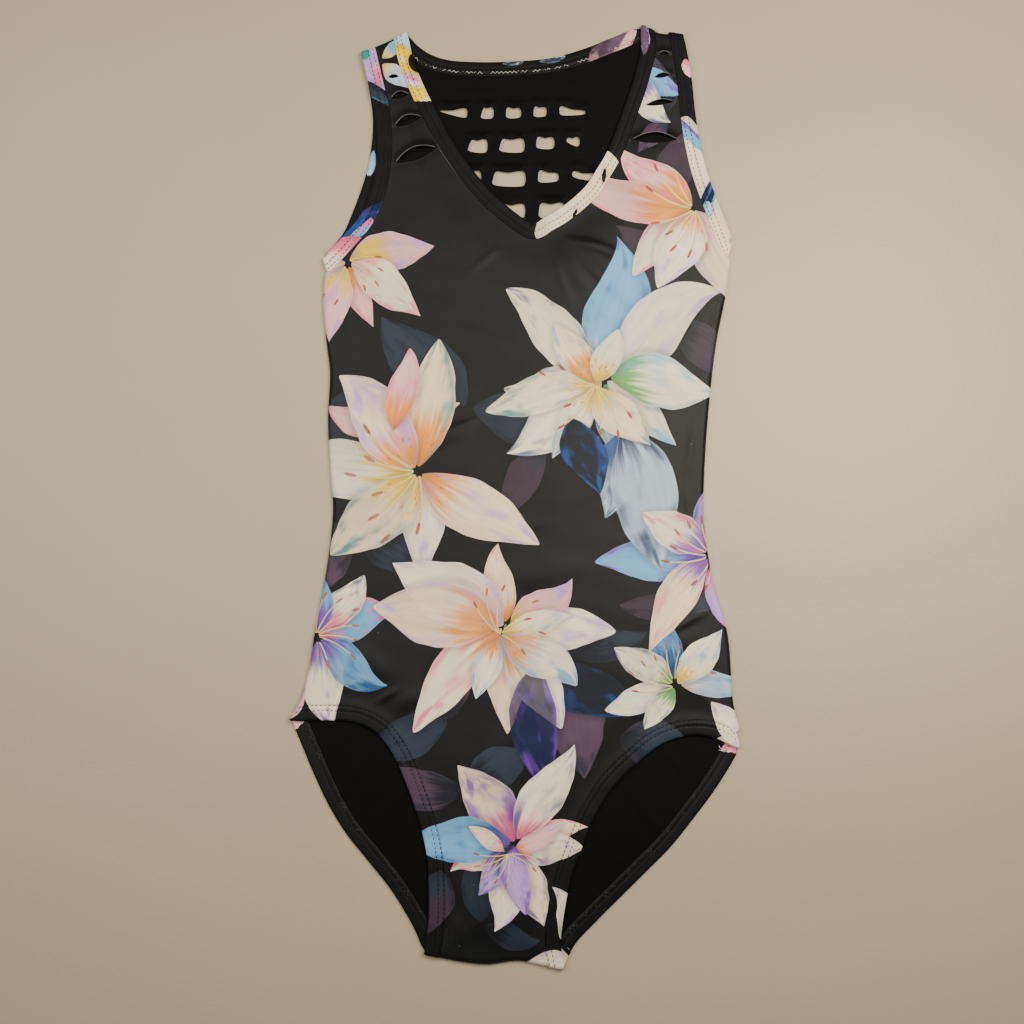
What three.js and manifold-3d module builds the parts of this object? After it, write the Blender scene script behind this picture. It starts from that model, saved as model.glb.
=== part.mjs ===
// A child's sleeveless leotard laid flat on its back, front up. X runs across, Y towards the shoulders, Z up.
// The printed back and its lining lie flat, the front lies over them and rolls down at its side, shoulder and
// crotch folds, and the neck, arm and leg edges are strips that turn over those folds and run round the back.
// The origin is the middle of the underside.
import * as THREE from 'three';
import { mergeVertices } from 'three/addons/utils/BufferGeometryUtils.js';
import Module from 'manifold-3d';

const wasm = await Module();
wasm.setup();

// Cloth layers, in millimetres above the surface that the garment lies on
const SEAM_GAP = 0.3;
const BACK_WALL = 1.0;
const LINING_BOTTOM = BACK_WALL + SEAM_GAP;
const LINING_WALL = 1.0;
const FRONT_WALL = 1.1;
const FRONT_BOTTOM = LINING_BOTTOM + LINING_WALL + 0.4;
const FRONT_TOP = FRONT_BOTTOM + FRONT_WALL;

// Strips round the neck, arms and legs
const STRIP_WIDTH = 9.8;
const STRIP_THICKNESS = 1.7;
const STRIP_CHAMFER = 0.5;
const STRIP_BACK_MIDDLE = STRIP_THICKNESS / 2;
const STRIP_FRONT_MIDDLE = LINING_BOTTOM + LINING_WALL + SEAM_GAP + STRIP_THICKNESS / 2;
const STRIP_TURN = (STRIP_FRONT_MIDDLE - STRIP_BACK_MIDDLE) / 2;
const STRIP_SETTLE = 9;
const TURN_STEPS = 5;
const STATION_SPACING = 9;
const STATION_ANGLE = THREE.MathUtils.degToRad(9);

// The rolled edge of the front, and how far the flat layers stay inside it
const ROLL_DEPTH = 3.2;
const ROLL_ANGLES = [0, 25, 48, 70, 90].map(THREE.MathUtils.degToRad);
const BACK_INSET = 2.0;
const LINING_INSET = 3.1;
const FRONT_COLUMNS = 16;
const FRONT_ROWS = 46;
const EDGE_PASSES = 4;
const OUTLINE_STEP = 12;

// The outline's middle in the tables' own millimetres, which becomes the origin
const OUTLINE_MIDDLE = { x: -0.06, y: -0.4 };

// Soft fullness of the front between its edges
const LOFT = 1.6;
const LOFT_START = 3;
const LOFT_FULL = 30;

// Turns rows of numbers into objects with the named columns
function table(columns, rows) {
  return rows.map((row) => Object.fromEntries(columns.map((name, index) => [name, row[index]])));
}

// Side seams, shoulder to crotch: the waist is drawn in, and past the underarm and hip they run on as guides
const LEFT_SIDE = table(['y', 'x'], [
  [296, -104], [200, -112], [136, -120.2], [113, -121.6], [84, -118.6], [67, -116.4], [36, -117.2],
  [-1, -114.8], [-20, -113.2], [-51, -115.9], [-95, -123.2], [-117, -126.5], [-135, -131], [-148, -137.6],
  [-200, -115], [-296, -62],
]);
const RIGHT_SIDE = table(['y', 'x'], [
  [296, 118], [200, 130], [148, 137.2], [129, 135.5], [113, 132.7], [91, 127.9], [68, 124.3], [43, 121.4],
  [18, 119.1], [-8, 117.5], [-26, 117.2], [-60, 121.6], [-97, 130.8], [-137, 133.3], [-164, 137.2],
  [-200, 120], [-296, 38],
]);

// Shoulder folds and crotch fold, left to right
const SHOULDER_FOLD = table(['x', 'y'], [
  [-104, 274.5], [-95, 278.8], [-80, 285.6], [-74.6, 288.6], [0, 300], [86.5, 293.6], [94, 290.2], [118, 288.6],
]);
const CROTCH_FOLD = table(['x', 'y'], [
  [-62, -286], [-45, -289.6], [-32, -292], [-17, -293.4], [2, -291.4], [18, -294.4], [38, -296],
]);

// Where each strip turns over a fold: its middle on the outline, and the angle of the fold line in degrees
const TURNS = {
  neckLeft: { x: -74.6, y: 288.4, angle: 31 },
  neckRight: { x: 86.5, y: 293.5, angle: -26 },
  armLeftTop: { x: -95, y: 278.6, angle: 19 },
  armLeftSide: { x: -120.7, y: 135.6, angle: 107 },
  armRightTop: { x: 104.4, y: 289.8, angle: -11 },
  armRightSide: { x: 136.4, y: 144.8, angle: 74 },
  legLeftHip: { x: -135.6, y: -144, angle: 61 },
  legLeftCrotch: { x: -50, y: -288.5, angle: -12 },
  legRightHip: { x: 136, y: -160.4, angle: 104 },
  legRightCrotch: { x: 24, y: -295.4, angle: -11 },
};

// Middle lines of the strips, each from its first turn to its second, on the front and on the back
const STRIPS = {
  neck_binding: {
    from: TURNS.neckLeft,
    to: TURNS.neckRight,
    bodySide: -1,
    front: table(['x', 'y'], [
      [-70.2, 271], [-61.2, 248], [-56.3, 238.2], [-44.4, 215.4], [-28.2, 191.6], [-14.7, 176.2], [-5.4, 168.1],
      [3, 161.6], [8, 158.3], [11.6, 157.2], [15.4, 158.3], [20.4, 161.8], [30, 167.6], [40.8, 176.2], [49.4, 184.9],
      [56.4, 196], [63.4, 208.4], [71.8, 230.6], [80.2, 255], [86, 279],
    ]),
    back: table(['x', 'y'], [
      [-66, 278.2], [-57.4, 272], [-44.8, 267.6], [-25.2, 266], [-2.3, 266.4], [22.8, 268.6], [44.5, 274.6],
      [62, 281.7], [75.5, 287.4],
    ]),
  },
  arm_binding_left: {
    from: TURNS.armLeftTop,
    to: TURNS.armLeftSide,
    bodySide: 1,
    front: table(['x', 'y'], [
      [-88.3, 251], [-85.5, 239.7], [-83.5, 221.6], [-83.6, 206.4], [-85.2, 192.6], [-90.6, 172.8],
      [-96.4, 162.2], [-106, 150.6],
    ]),
    back: table(['x', 'y'], [
      [-88.6, 250], [-86.3, 230.7], [-88.1, 206.1], [-91.2, 191.9], [-95.6, 178], [-99.6, 167], [-104.2, 156],
      [-110, 147.6],
    ]),
  },
  arm_binding_right: {
    from: TURNS.armRightTop,
    to: TURNS.armRightSide,
    bodySide: -1,
    front: table(['x', 'y'], [
      [108.4, 261], [110.5, 237], [112.8, 219], [117, 198], [123, 179], [128.6, 163.4], [132, 153.6],
    ]),
    back: table(['x', 'y'], [
      [106.8, 258], [108.4, 236], [110.4, 218], [114.2, 198], [119.8, 179], [125.6, 163], [130, 152.6],
    ]),
  },
  leg_hem_left: {
    from: TURNS.legLeftHip,
    to: TURNS.legLeftCrotch,
    bodySide: 1,
    front: table(['x', 'y'], [
      [-127, -144.4], [-112, -144], [-98.1, -145.2], [-88.4, -148.4], [-79.2, -154.6], [-71.5, -164.4],
      [-64.8, -177.2], [-58.4, -192.9], [-52.9, -209.4], [-49, -225.3], [-47.3, -243.1], [-47, -263.7],
      [-48.3, -278],
    ]),
    back: table(['x', 'y'], [
      [-129.4, -153], [-123.8, -165.8], [-117.8, -179.2], [-109.4, -196.3], [-99, -212.8], [-85.8, -228.8],
      [-72, -245.4], [-62.4, -259.7], [-55.4, -272],
    ]),
  },
  leg_hem_right: {
    from: TURNS.legRightHip,
    to: TURNS.legRightCrotch,
    bodySide: -1,
    front: table(['x', 'y'], [
      [125, -155.6], [112.1, -153.2], [97.8, -154.6], [83.6, -160.6], [69.6, -172], [56.4, -185], [44.6, -202.7],
      [36.5, -221.1], [28.7, -242.6], [23.8, -267.1], [22.6, -282],
    ]),
    back: table(['x', 'y'], [
      [126.4, -174], [116.2, -189.2], [103, -206.1], [90.2, -221.4], [75.1, -236.1], [59.9, -250.7],
      [44.8, -265.3], [31.8, -279],
    ]),
  },
};

// Lens-shaped cuts across the shoulder straps, both sides, top to bottom
const STRAP_CUTS = table(['x', 'y', 'length', 'width', 'angle'], [
  [-78, 259.6, 7, 2.4, 6], [-73.8, 246.6, 11, 4.8, 14], [-68.4, 229.8, 17.6, 6.4, 20], [-63, 207.2, 27.6, 8.4, 21],
  [96, 275.2, 6.6, 2.6, 0], [94.6, 260.2, 10, 3.2, 9], [92.5, 241.8, 17.6, 3.8, 8], [89.2, 217.8, 28, 7, 0],
]);
const LENS_POINTS = 9;

// Lattice cut through the upper back: each window's left and right edge, its middle height and its depth
const LATTICE = table(['left', 'right', 'y', 'depth'], [
  [-47, -30.8, 236.4, 6.4], [-20.8, -13.9, 236.4, 7.4], [-4.5, 3.7, 236.6, 7.2], [13.1, 20.1, 237.4, 7],
  [30, 45.5, 237.8, 6.6],
  [-29, -17.9, 214.4, 9], [-8.9, 5.8, 214.8, 9.2], [14.8, 25, 216.6, 8.6], [34.4, 41.2, 217.4, 7.2],
  [-31.5, -21.9, 193.4, 9.4], [-13.4, 6.4, 192.8, 9.8], [15.9, 27.7, 194.4, 8], [37.9, 52, 194.8, 8.6],
  [-8.6, 6.1, 171.4, 9.8], [16.3, 31.2, 171.6, 10.8],
]);
const LINING_SETBACK = 1.3;

// The largest soft folds of the front: middle, direction in degrees, length, half width and height
const FOLDS = table(['x', 'y', 'angle', 'length', 'width', 'height'], [
  [52, 141, -28, 66, 6, 1.6], [62, 126, -36, 60, 6, 1.3], [38, 131, -52, 48, 5, 1.0],
  [-96, 120, -58, 58, 7, 1.4], [-80, 96, -48, 56, 7, 1.1], [-42, 26, 24, 50, 5, 1.3],
  [108, 70, 62, 62, 7, 1.2], [-104, 20, 78, 64, 6, 0.9], [104, -82, 30, 52, 6, 1.5],
  [92, -104, 26, 60, 7, 1.2], [-92, -112, -34, 52, 7, 1.2], [-66, -138, 32, 34, 6, 1.3],
  [-12, -196, 86, 96, 6, 1.3], [-26, -248, 94, 70, 5, 1.1], [8, -254, 80, 64, 5, 1.0],
  [14, -60, 12, 92, 9, 1.0], [0, 60, -16, 96, 9, 0.9],
]);

// Cutting prisms reach past every layer, and past the outline of the whole garment
const CUT_BOTTOM = -2;
const CUT_HEIGHT = 24;
const CUT_OVERRUN = 12;
const FAR = 420;

// Value of one column of a table at a place along another, on a smooth curve through the rows
function smoothValue(rows, along, wanted, place) {
  const ordered = rows[0][along] < rows[rows.length - 1][along] ? rows : [...rows].reverse();
  const last = ordered.length - 1;
  const slopeAt = (index) => {
    const before = ordered[Math.max(index - 1, 0)];
    const after = ordered[Math.min(index + 1, last)];
    return (after[wanted] - before[wanted]) / (after[along] - before[along]);
  };
  let index = ordered.findIndex((row, i) => i < last && place <= ordered[i + 1][along]);
  if (index < 0) index = last - 1;
  const start = ordered[index];
  const end = ordered[index + 1];
  const span = end[along] - start[along];
  const t = THREE.MathUtils.clamp((place - start[along]) / span, 0, 1);
  const startWeight = 2 * t ** 3 - 3 * t ** 2 + 1;
  const endWeight = 1 - startWeight;
  const startSlope = (t ** 3 - 2 * t ** 2 + t) * span * slopeAt(index);
  const endSlope = (t ** 3 - t ** 2) * span * slopeAt(index + 1);
  return startWeight * start[wanted] + endWeight * end[wanted] + startSlope + endSlope;
}

const leftEdge = (y) => smoothValue(LEFT_SIDE, 'y', 'x', y);
const rightEdge = (y) => smoothValue(RIGHT_SIDE, 'y', 'x', y);
const topEdge = (x) => smoothValue(SHOULDER_FOLD, 'x', 'y', x);
const bottomEdge = (x) => smoothValue(CROTCH_FOLD, 'x', 'y', x);

// A turn's fold line, its inward direction and the middle of the half circle that the strip makes there
function turnFrame(turn) {
  const angle = THREE.MathUtils.degToRad(turn.angle);
  const line = new THREE.Vector2(Math.cos(angle), Math.sin(angle));
  const inward = new THREE.Vector2(-line.y, line.x);
  if (inward.x * turn.x + inward.y * turn.y > 0) inward.negate();
  const middle = new THREE.Vector2(turn.x, turn.y);
  middle.addScaledVector(inward, STRIP_TURN + STRIP_THICKNESS / 2);
  return { line, inward, middle };
}

// Stations along one face of a strip: place, and the level direction across it, towards the body of the garment
function strandStations(from, to, rows, bodySide) {
  const start = turnFrame(from);
  const end = turnFrame(to);
  const places = [start.middle, ...rows.map((row) => new THREE.Vector2(row.x, row.y)), end.middle];
  const curve = new THREE.CatmullRomCurve3(places.map((p) => new THREE.Vector3(p.x, p.y, 0)), false, 'centripetal');
  const total = curve.getLength();
  const samples = Math.ceil(total);
  const stations = [];
  let lastHeading = null;
  let lastPlace = 0;
  for (let i = 0; i <= samples; i += 1) {
    const share = i / samples;
    const place = curve.getPointAt(share);
    const heading = curve.getTangentAt(share);
    const turned = lastHeading ? heading.angleTo(lastHeading) : Infinity;
    const walked = share * total - lastPlace;
    if (i === samples || turned > STATION_ANGLE || walked > STATION_SPACING) {
      const across = new THREE.Vector2(-heading.y, heading.x).multiplyScalar(bodySide);
      for (const [frame, distance] of [[start, share * total], [end, (1 - share) * total]]) {
        const towards = frame.line.clone().multiplyScalar(Math.sign(frame.line.dot(across)));
        across.lerp(towards, 1 - THREE.MathUtils.smoothstep(distance, 0, STRIP_SETTLE)).normalize();
      }
      stations.push({ x: place.x, y: place.y, across });
      lastHeading = heading;
      lastPlace = share * total;
    }
  }
  return stations;
}

const strands = {};
for (const [name, strip] of Object.entries(STRIPS)) {
  strands[name] = {
    front: strandStations(strip.from, strip.to, strip.front, strip.bodySide),
    back: strandStations(strip.from, strip.to, strip.back, strip.bodySide),
  };
}

// Distance from a place on the front to its nearest fold or strip
function edgeDistance(x, y) {
  let nearest = Math.min(x - leftEdge(y), rightEdge(y) - x, y - bottomEdge(x), topEdge(x) - y);
  for (const { front } of Object.values(strands)) {
    for (const station of front) {
      nearest = Math.min(nearest, Math.hypot(x - station.x, y - station.y));
    }
  }
  return Math.max(nearest, 0);
}

// How far the front is raised by its fullness and its folds
function raise(x, y) {
  const free = THREE.MathUtils.smoothstep(edgeDistance(x, y), LOFT_START, LOFT_FULL);
  let height = LOFT * free;
  for (const fold of FOLDS) {
    const angle = THREE.MathUtils.degToRad(fold.angle);
    const along = (x - fold.x) * Math.cos(angle) + (y - fold.y) * Math.sin(angle);
    const across = (y - fold.y) * Math.cos(angle) - (x - fold.x) * Math.sin(angle);
    const reach = Math.max(0, 1 - (2 * along / fold.length) ** 2);
    height += fold.height * reach ** 2 * Math.exp(-((across / fold.width) ** 2)) * free;
  }
  return height;
}

// One closed mesh from points and triangles, turned outwards
function closedGeometry(points, triangles) {
  const geometry = new THREE.BufferGeometry();
  geometry.setAttribute('position', new THREE.Float32BufferAttribute(points.flat(), 3));
  const volume = triangles.reduce((sum, [a, b, c]) => {
    const [p, q, r] = [points[a], points[b], points[c]].map((point) => new THREE.Vector3(...point));
    return sum + p.dot(q.cross(r));
  }, 0);
  const facing = volume > 0 ? triangles : triangles.map(([a, b, c]) => [a, c, b]);
  geometry.setIndex(facing.flat());
  return geometry;
}

function toSolid(geometry) {
  const bare = geometry.clone();
  bare.deleteAttribute('normal');
  bare.deleteAttribute('uv');
  const merged = mergeVertices(bare, 1e-4);
  return new wasm.Manifold(new wasm.Mesh({
    numProp: 3,
    vertProperties: new Float32Array(merged.attributes.position.array),
    triVerts: new Uint32Array(merged.index.array),
  }));
}

function toGeometry(solid) {
  const mesh = solid.getMesh();
  const geometry = new THREE.BufferGeometry();
  geometry.setAttribute('position', new THREE.Float32BufferAttribute(mesh.vertProperties, 3));
  geometry.setIndex(Array.from(mesh.triVerts));
  return geometry;
}

// An upright prism over a closed outline of [x, y] pairs
function prism(outline, bottom, height) {
  const shape = new THREE.Shape(outline.map(([x, y]) => new THREE.Vector2(x, y)));
  const geometry = new THREE.ExtrudeGeometry(shape, { depth: height, bevelEnabled: false });
  geometry.translate(0, 0, bottom);
  return toSolid(geometry);
}

// Everything that one strip and the opening beyond it take out of a panel: the edge is the strip's own, moved out
// by the seam gap, and the outline is closed through corners far outside the garment
function openingCut(name, face, corners) {
  const stations = strands[name][face];
  const reach = STRIP_WIDTH / 2 + SEAM_GAP;
  const edge = stations.map((s) => [s.x + s.across.x * reach, s.y + s.across.y * reach]);
  const overrun = (turn, [x, y]) => {
    const { inward } = turnFrame(turn);
    return [x - inward.x * CUT_OVERRUN, y - inward.y * CUT_OVERRUN];
  };
  const first = overrun(STRIPS[name].from, edge[0]);
  const last = overrun(STRIPS[name].to, edge[edge.length - 1]);
  return prism([first, ...edge, last, ...corners], CUT_BOTTOM, CUT_HEIGHT);
}

function openingCuts(face) {
  return [
    openingCut('neck_binding', face, [[TURNS.neckRight.x, FAR], [TURNS.neckLeft.x, FAR]]),
    openingCut('arm_binding_left', face, [[-FAR, TURNS.armLeftSide.y], [-FAR, FAR], [TURNS.armLeftTop.x, FAR]]),
    openingCut('arm_binding_right', face, [[FAR, TURNS.armRightSide.y], [FAR, FAR], [TURNS.armRightTop.x, FAR]]),
    openingCut('leg_hem_left', face, [[TURNS.legLeftCrotch.x, -FAR], [-FAR, -FAR], [-FAR, TURNS.legLeftHip.y]]),
    openingCut('leg_hem_right', face, [[TURNS.legRightCrotch.x, -FAR], [FAR, -FAR], [FAR, TURNS.legRightHip.y]]),
  ];
}

// A pointed oval, for the cuts across the straps
function lensCut({ x, y, length, width, angle }) {
  const turn = THREE.MathUtils.degToRad(angle);
  const outline = [];
  for (const side of [1, -1]) {
    for (let i = 0; i < LENS_POINTS; i += 1) {
      const along = (i / LENS_POINTS - 0.5) * length * side;
      const across = (width / 2) * (1 - (2 * along / length) ** 2) * side;
      outline.push([
        x + along * Math.cos(turn) - across * Math.sin(turn),
        y + along * Math.sin(turn) + across * Math.cos(turn),
      ]);
    }
  }
  return prism(outline, CUT_BOTTOM, CUT_HEIGHT);
}

// A window of the lattice: its upper lip sags and its corners are cut off
function windowCut({ left, right, y, depth }, leftShift) {
  const x0 = left - leftShift;
  const top = y + depth / 2;
  const bottom = y - depth / 2;
  const corner = Math.min(depth, right - x0) / 6;
  const sag = depth / 12;
  const outline = [
    [x0, bottom + corner], [x0 + corner, bottom], [right - corner, bottom + sag / 2], [right, bottom + corner],
    [right, top - corner], [right - corner, top], [(x0 + right) / 2, top - sag], [x0 + corner, top],
    [x0, top - corner],
  ];
  return prism(outline, CUT_BOTTOM, CUT_HEIGHT);
}

// A flat layer of the back, inside the folds of the front
function flatLayer(bottom, wall, inset, windowShift) {
  const crotch = [];
  const right = [];
  const shoulder = [];
  const left = [];
  const lowest = CROTCH_FOLD[0].y + OUTLINE_STEP;
  const highest = SHOULDER_FOLD[0].y - OUTLINE_STEP / 2;
  const rises = Math.round((highest - lowest) / OUTLINE_STEP);
  for (let i = 0; i <= rises; i += 1) {
    const y = lowest + (highest - lowest) * (i / rises);
    right.push([rightEdge(y) - inset, y]);
    left.unshift([leftEdge(y) + inset, y]);
  }
  const widths = Math.round((right[0][0] - left[left.length - 1][0]) / OUTLINE_STEP);
  for (let i = 0; i <= widths; i += 1) {
    const low = THREE.MathUtils.lerp(left[left.length - 1][0], right[0][0], i / widths);
    const high = THREE.MathUtils.lerp(left[0][0], right[rises][0], i / widths);
    crotch.push([low, bottomEdge(low) + inset]);
    shoulder.unshift([high, topEdge(high) - inset]);
  }
  const sheet = prism([...crotch, ...right, ...shoulder, ...left], bottom, wall);
  const cuts = [...openingCuts('back'), ...LATTICE.map((window) => windowCut(window, windowShift))];
  return cuts.reduce((solid, cut) => solid.subtract(cut), sheet);
}

// The front: an outer and an inner skin on one grid, joined by a rim under the rolled edges
function frontPanel() {
  const shares = (count) => [
    ...ROLL_ANGLES.map((angle) => ({ share: 0, side: 0, angle })),
    ...Array.from({ length: count }, (unused, i) => ({ share: (i + 1) / (count + 1), angle: Math.PI / 2 })),
    ...[...ROLL_ANGLES].reverse().map((angle) => ({ share: 1, side: 1, angle })),
  ];
  const columns = shares(FRONT_COLUMNS);
  const rows = shares(FRONT_ROWS);
  const rollInset = (angle, wall) => wall + (ROLL_DEPTH - wall) * (1 - Math.cos(angle));
  const between = (low, high, place, wall) => {
    const inset = rollInset(place.angle, wall);
    if (place.side === 0) return low + inset;
    if (place.side === 1) return high - inset;
    return low + ROLL_DEPTH + (high - low - 2 * ROLL_DEPTH) * place.share;
  };
  const skin = (wall, levelTop) => rows.map((row) => columns.map((column) => {
    let x = 0;
    let y = between(bottomEdge(x), topEdge(x), row, wall);
    for (let pass = 0; pass < EDGE_PASSES; pass += 1) {
      x = between(leftEdge(y), rightEdge(y), column, wall);
      y = between(bottomEdge(x), topEdge(x), row, wall);
    }
    const roll = Math.sin(row.angle) * Math.sin(column.angle);
    const z = SEAM_GAP + (levelTop - SEAM_GAP + raise(x, y)) * roll;
    return [x, y, z];
  }));
  const outer = skin(0, FRONT_TOP);
  const inner = skin(FRONT_WALL, FRONT_BOTTOM);
  const wide = columns.length;
  const points = [...outer.flat(), ...inner.flat()];
  const offset = rows.length * wide;
  const triangles = [];
  for (let r = 0; r < rows.length - 1; r += 1) {
    for (let c = 0; c < wide - 1; c += 1) {
      const [a, b, d, e] = [r * wide + c, r * wide + c + 1, (r + 1) * wide + c + 1, (r + 1) * wide + c];
      triangles.push([a, b, d], [a, d, e]);
      triangles.push([a + offset, d + offset, b + offset], [a + offset, e + offset, d + offset]);
    }
  }
  const rim = [
    ...Array.from({ length: wide - 1 }, (unused, c) => c),
    ...Array.from({ length: rows.length - 1 }, (unused, r) => r * wide + wide - 1),
    ...Array.from({ length: wide - 1 }, (unused, c) => rows.length * wide - 1 - c),
    ...Array.from({ length: rows.length - 1 }, (unused, r) => (rows.length - 1 - r) * wide),
  ];
  rim.forEach((a, i) => {
    const b = rim[(i + 1) % rim.length];
    triangles.push([b, a, a + offset], [b, a + offset, b + offset]);
  });
  const sheet = toSolid(closedGeometry(points, triangles));
  const cuts = [...openingCuts('front'), ...STRAP_CUTS.map(lensCut)];
  return cuts.reduce((solid, cut) => solid.subtract(cut), sheet);
}

// A strip's section: distance across it, towards the body, and distance outwards
function stripSection() {
  const half = STRIP_WIDTH / 2;
  const flat = half - STRIP_CHAMFER;
  const thick = STRIP_THICKNESS / 2;
  return [[half, 0], [flat, thick], [-flat, thick], [-half, 0], [-flat, -thick], [flat, -thick]];
}

// A strip all round its opening: over the front, down round one fold, along the back and up round the other
function stripRing(name) {
  const { from, to } = STRIPS[name];
  const { front, back } = strands[name];
  const frames = [
    ...front.map((s) => ({ ...s, z: STRIP_FRONT_MIDDLE, outwards: new THREE.Vector3(0, 0, 1), raised: true })),
    ...turnStations(to, front[front.length - 1].across, false),
    ...[...back].reverse().map((s) => ({ ...s, z: STRIP_BACK_MIDDLE, outwards: new THREE.Vector3(0, 0, -1) })),
    ...turnStations(from, front[0].across, true),
  ];
  const section = stripSection();
  const points = frames.flatMap((frame) => section.map(([aside, out]) => {
    const x = frame.x + frame.across.x * aside + frame.outwards.x * out;
    const y = frame.y + frame.across.y * aside + frame.outwards.y * out;
    const z = frame.z + frame.outwards.z * out + (frame.raised ? raise(x, y) : 0);
    return [x, y, z];
  }));
  const count = section.length;
  const triangles = [];
  frames.forEach((unused, i) => {
    const here = i * count;
    const next = ((i + 1) % frames.length) * count;
    for (let k = 0; k < count; k += 1) {
      const l = (k + 1) % count;
      triangles.push([here + k, here + l, next + l], [here + k, next + l, next + k]);
    }
  });
  return closedGeometry(points, triangles);
}

// The stations of the half circle over a fold, between the top and bottom ones
function turnStations(turn, across, upwards) {
  const { inward, middle } = turnFrame(turn);
  const centreHeight = STRIP_BACK_MIDDLE + STRIP_TURN;
  const stations = [];
  for (let i = 1; i < TURN_STEPS; i += 1) {
    const angle = Math.PI * (0.5 - i / TURN_STEPS) * (upwards ? -1 : 1);
    const outwards = new THREE.Vector3(-inward.x * Math.cos(angle), -inward.y * Math.cos(angle), Math.sin(angle));
    stations.push({
      x: middle.x + outwards.x * STRIP_TURN,
      y: middle.y + outwards.y * STRIP_TURN,
      z: centreHeight + outwards.z * STRIP_TURN,
      across,
      outwards,
    });
  }
  return stations;
}

function cloth(color, roughness) {
  return new THREE.MeshStandardMaterial({ color, roughness, metalness: 0 });
}

const BLACK_PRINT = 0x17161a;
const LINING_BLACK = 0x0b0b0c;
const pieces = [
  ['back_panel', toGeometry(flatLayer(0, BACK_WALL, BACK_INSET, 0)), cloth(BLACK_PRINT, 0.72)],
  ['back_lining', toGeometry(flatLayer(LINING_BOTTOM, LINING_WALL, LINING_INSET, LINING_SETBACK)),
    cloth(LINING_BLACK, 0.8)],
  ['front_panel', toGeometry(frontPanel()), cloth(BLACK_PRINT, 0.7)],
  ['neck_binding', stripRing('neck_binding'), cloth(0x1c1b1e, 0.68)],
  ['arm_binding_left', stripRing('arm_binding_left'), cloth(0x222026, 0.68)],
  ['arm_binding_right', stripRing('arm_binding_right'), cloth(0xd9cdbd, 0.68)],
  ['leg_hem_left', stripRing('leg_hem_left'), cloth(0x2b2a33, 0.7)],
  ['leg_hem_right', stripRing('leg_hem_right'), cloth(0xcfc3bf, 0.7)],
];

const leotard = new THREE.Group();
leotard.position.set(-OUTLINE_MIDDLE.x, -OUTLINE_MIDDLE.y, 0);
for (const [name, geometry, material] of pieces) {
  const mesh = new THREE.Mesh(geometry, material);
  mesh.name = name;
  leotard.add(mesh);
}

export default leotard;
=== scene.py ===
"""Dresses the laid-out leotard: printed knit, lining, bindings, hems, stitching, and the table."""
import math
import random

import bpy
import numpy as np
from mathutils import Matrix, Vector
from mathutils.geometry import delaunay_2d_cdt
from mathutils.kdtree import KDTree


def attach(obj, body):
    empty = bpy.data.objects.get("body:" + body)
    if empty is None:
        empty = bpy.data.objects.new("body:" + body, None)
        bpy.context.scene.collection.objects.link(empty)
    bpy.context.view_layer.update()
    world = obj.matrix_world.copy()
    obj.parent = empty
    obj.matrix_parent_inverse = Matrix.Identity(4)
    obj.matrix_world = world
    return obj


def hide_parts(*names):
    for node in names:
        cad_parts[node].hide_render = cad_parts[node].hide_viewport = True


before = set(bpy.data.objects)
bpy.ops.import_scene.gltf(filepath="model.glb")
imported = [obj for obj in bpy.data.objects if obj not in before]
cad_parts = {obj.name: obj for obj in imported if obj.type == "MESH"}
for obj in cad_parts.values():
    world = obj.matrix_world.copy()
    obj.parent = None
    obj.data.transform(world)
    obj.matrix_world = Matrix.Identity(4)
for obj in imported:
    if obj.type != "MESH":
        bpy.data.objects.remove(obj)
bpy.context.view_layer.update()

bl_info = {
    "name": "Leotard laid flat",
    "version": (1, 0, 0),
    "blender": (4, 5, 0),
    "location": "3D View > Sidebar > Leotard",
    "description": "Makes the cloth, print and stitching of a child's leotard laid flat",
    "category": "Add Mesh",
}

# The tables are in millimetres, and their middle is the frame's origin
MM = 0.001
OUTLINE_MIDDLE = np.array([-0.06, -0.4])
BODY = "root"

# Cloth layers above the surface that the garment lies on
SEAM_GAP = 0.3
FRONT_TOP = 3.8
STRIP_WIDTH = 9.8
STRIP_THICKNESS = 1.7
STRIP_BACK_MIDDLE = 0.85
STRIP_FRONT_MIDDLE = 3.45
STRIP_TURN = (STRIP_FRONT_MIDDLE - STRIP_BACK_MIDDLE) / 2
STRIP_SETTLE = 9
STITCH_HEIGHT = STRIP_FRONT_MIDDLE + STRIP_THICKNESS / 2 - 0.12
LOOPER_HEIGHT = STRIP_BACK_MIDDLE + STRIP_THICKNESS / 2 + 0.02
FRONT_REACH = STRIP_WIDTH / 2 + 0.05
BACK_REACH = STRIP_WIDTH / 2 + 0.1
RAW_WIDTH = 0.32
LOWEST = 0.04
LIP_REACH = 2.4
CREASE_DEPTH = 1.45
LINING_CREASE_DEPTH = 0.6
ROLL_DEPTH = 3.2
ROLL_GUIDES = (0.1, 0.35, 0.8, 1.4, 2.2, 3.2)
LINING_LEVEL = 1.95
LINING_WALL = 0.8
BACK_LEVEL = 0.95
BACK_INSET = 2.0
LINING_INSET = 3.1
LOFT = 1.6
LOFT_START = 3
LOFT_FULL = 30
CREASE_FULL = 12
HEM_SWELL = 0.45
HEM_SWELL_REACH = 3.5

# A strip's section: distances across it, and the groove that a row of stitches presses
SECTION_ASIDE = (4.9, 4.82, 4.6, 4.2, 3.65, 3.1, 2.5, 1.75, 1.0, 0.45, -0.1, -0.7, -1.5, -2.4, -3.3, -4.0,
                 -4.55, -4.82)
GROOVE_DEPTH = 0.26
GROOVE_WIDTH = 0.42

# Spacing of points, and the most faces that one piece may have
CURVE_STEPS = 24
STRAND_STEP = 1.5
WINDOW_STEP = 0.8
LENS_POINTS = 26
MOST_FACES = 200000

# Half the side of the surface that the garment lies on, in metres
TABLE_HALF = 3.0


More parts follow.
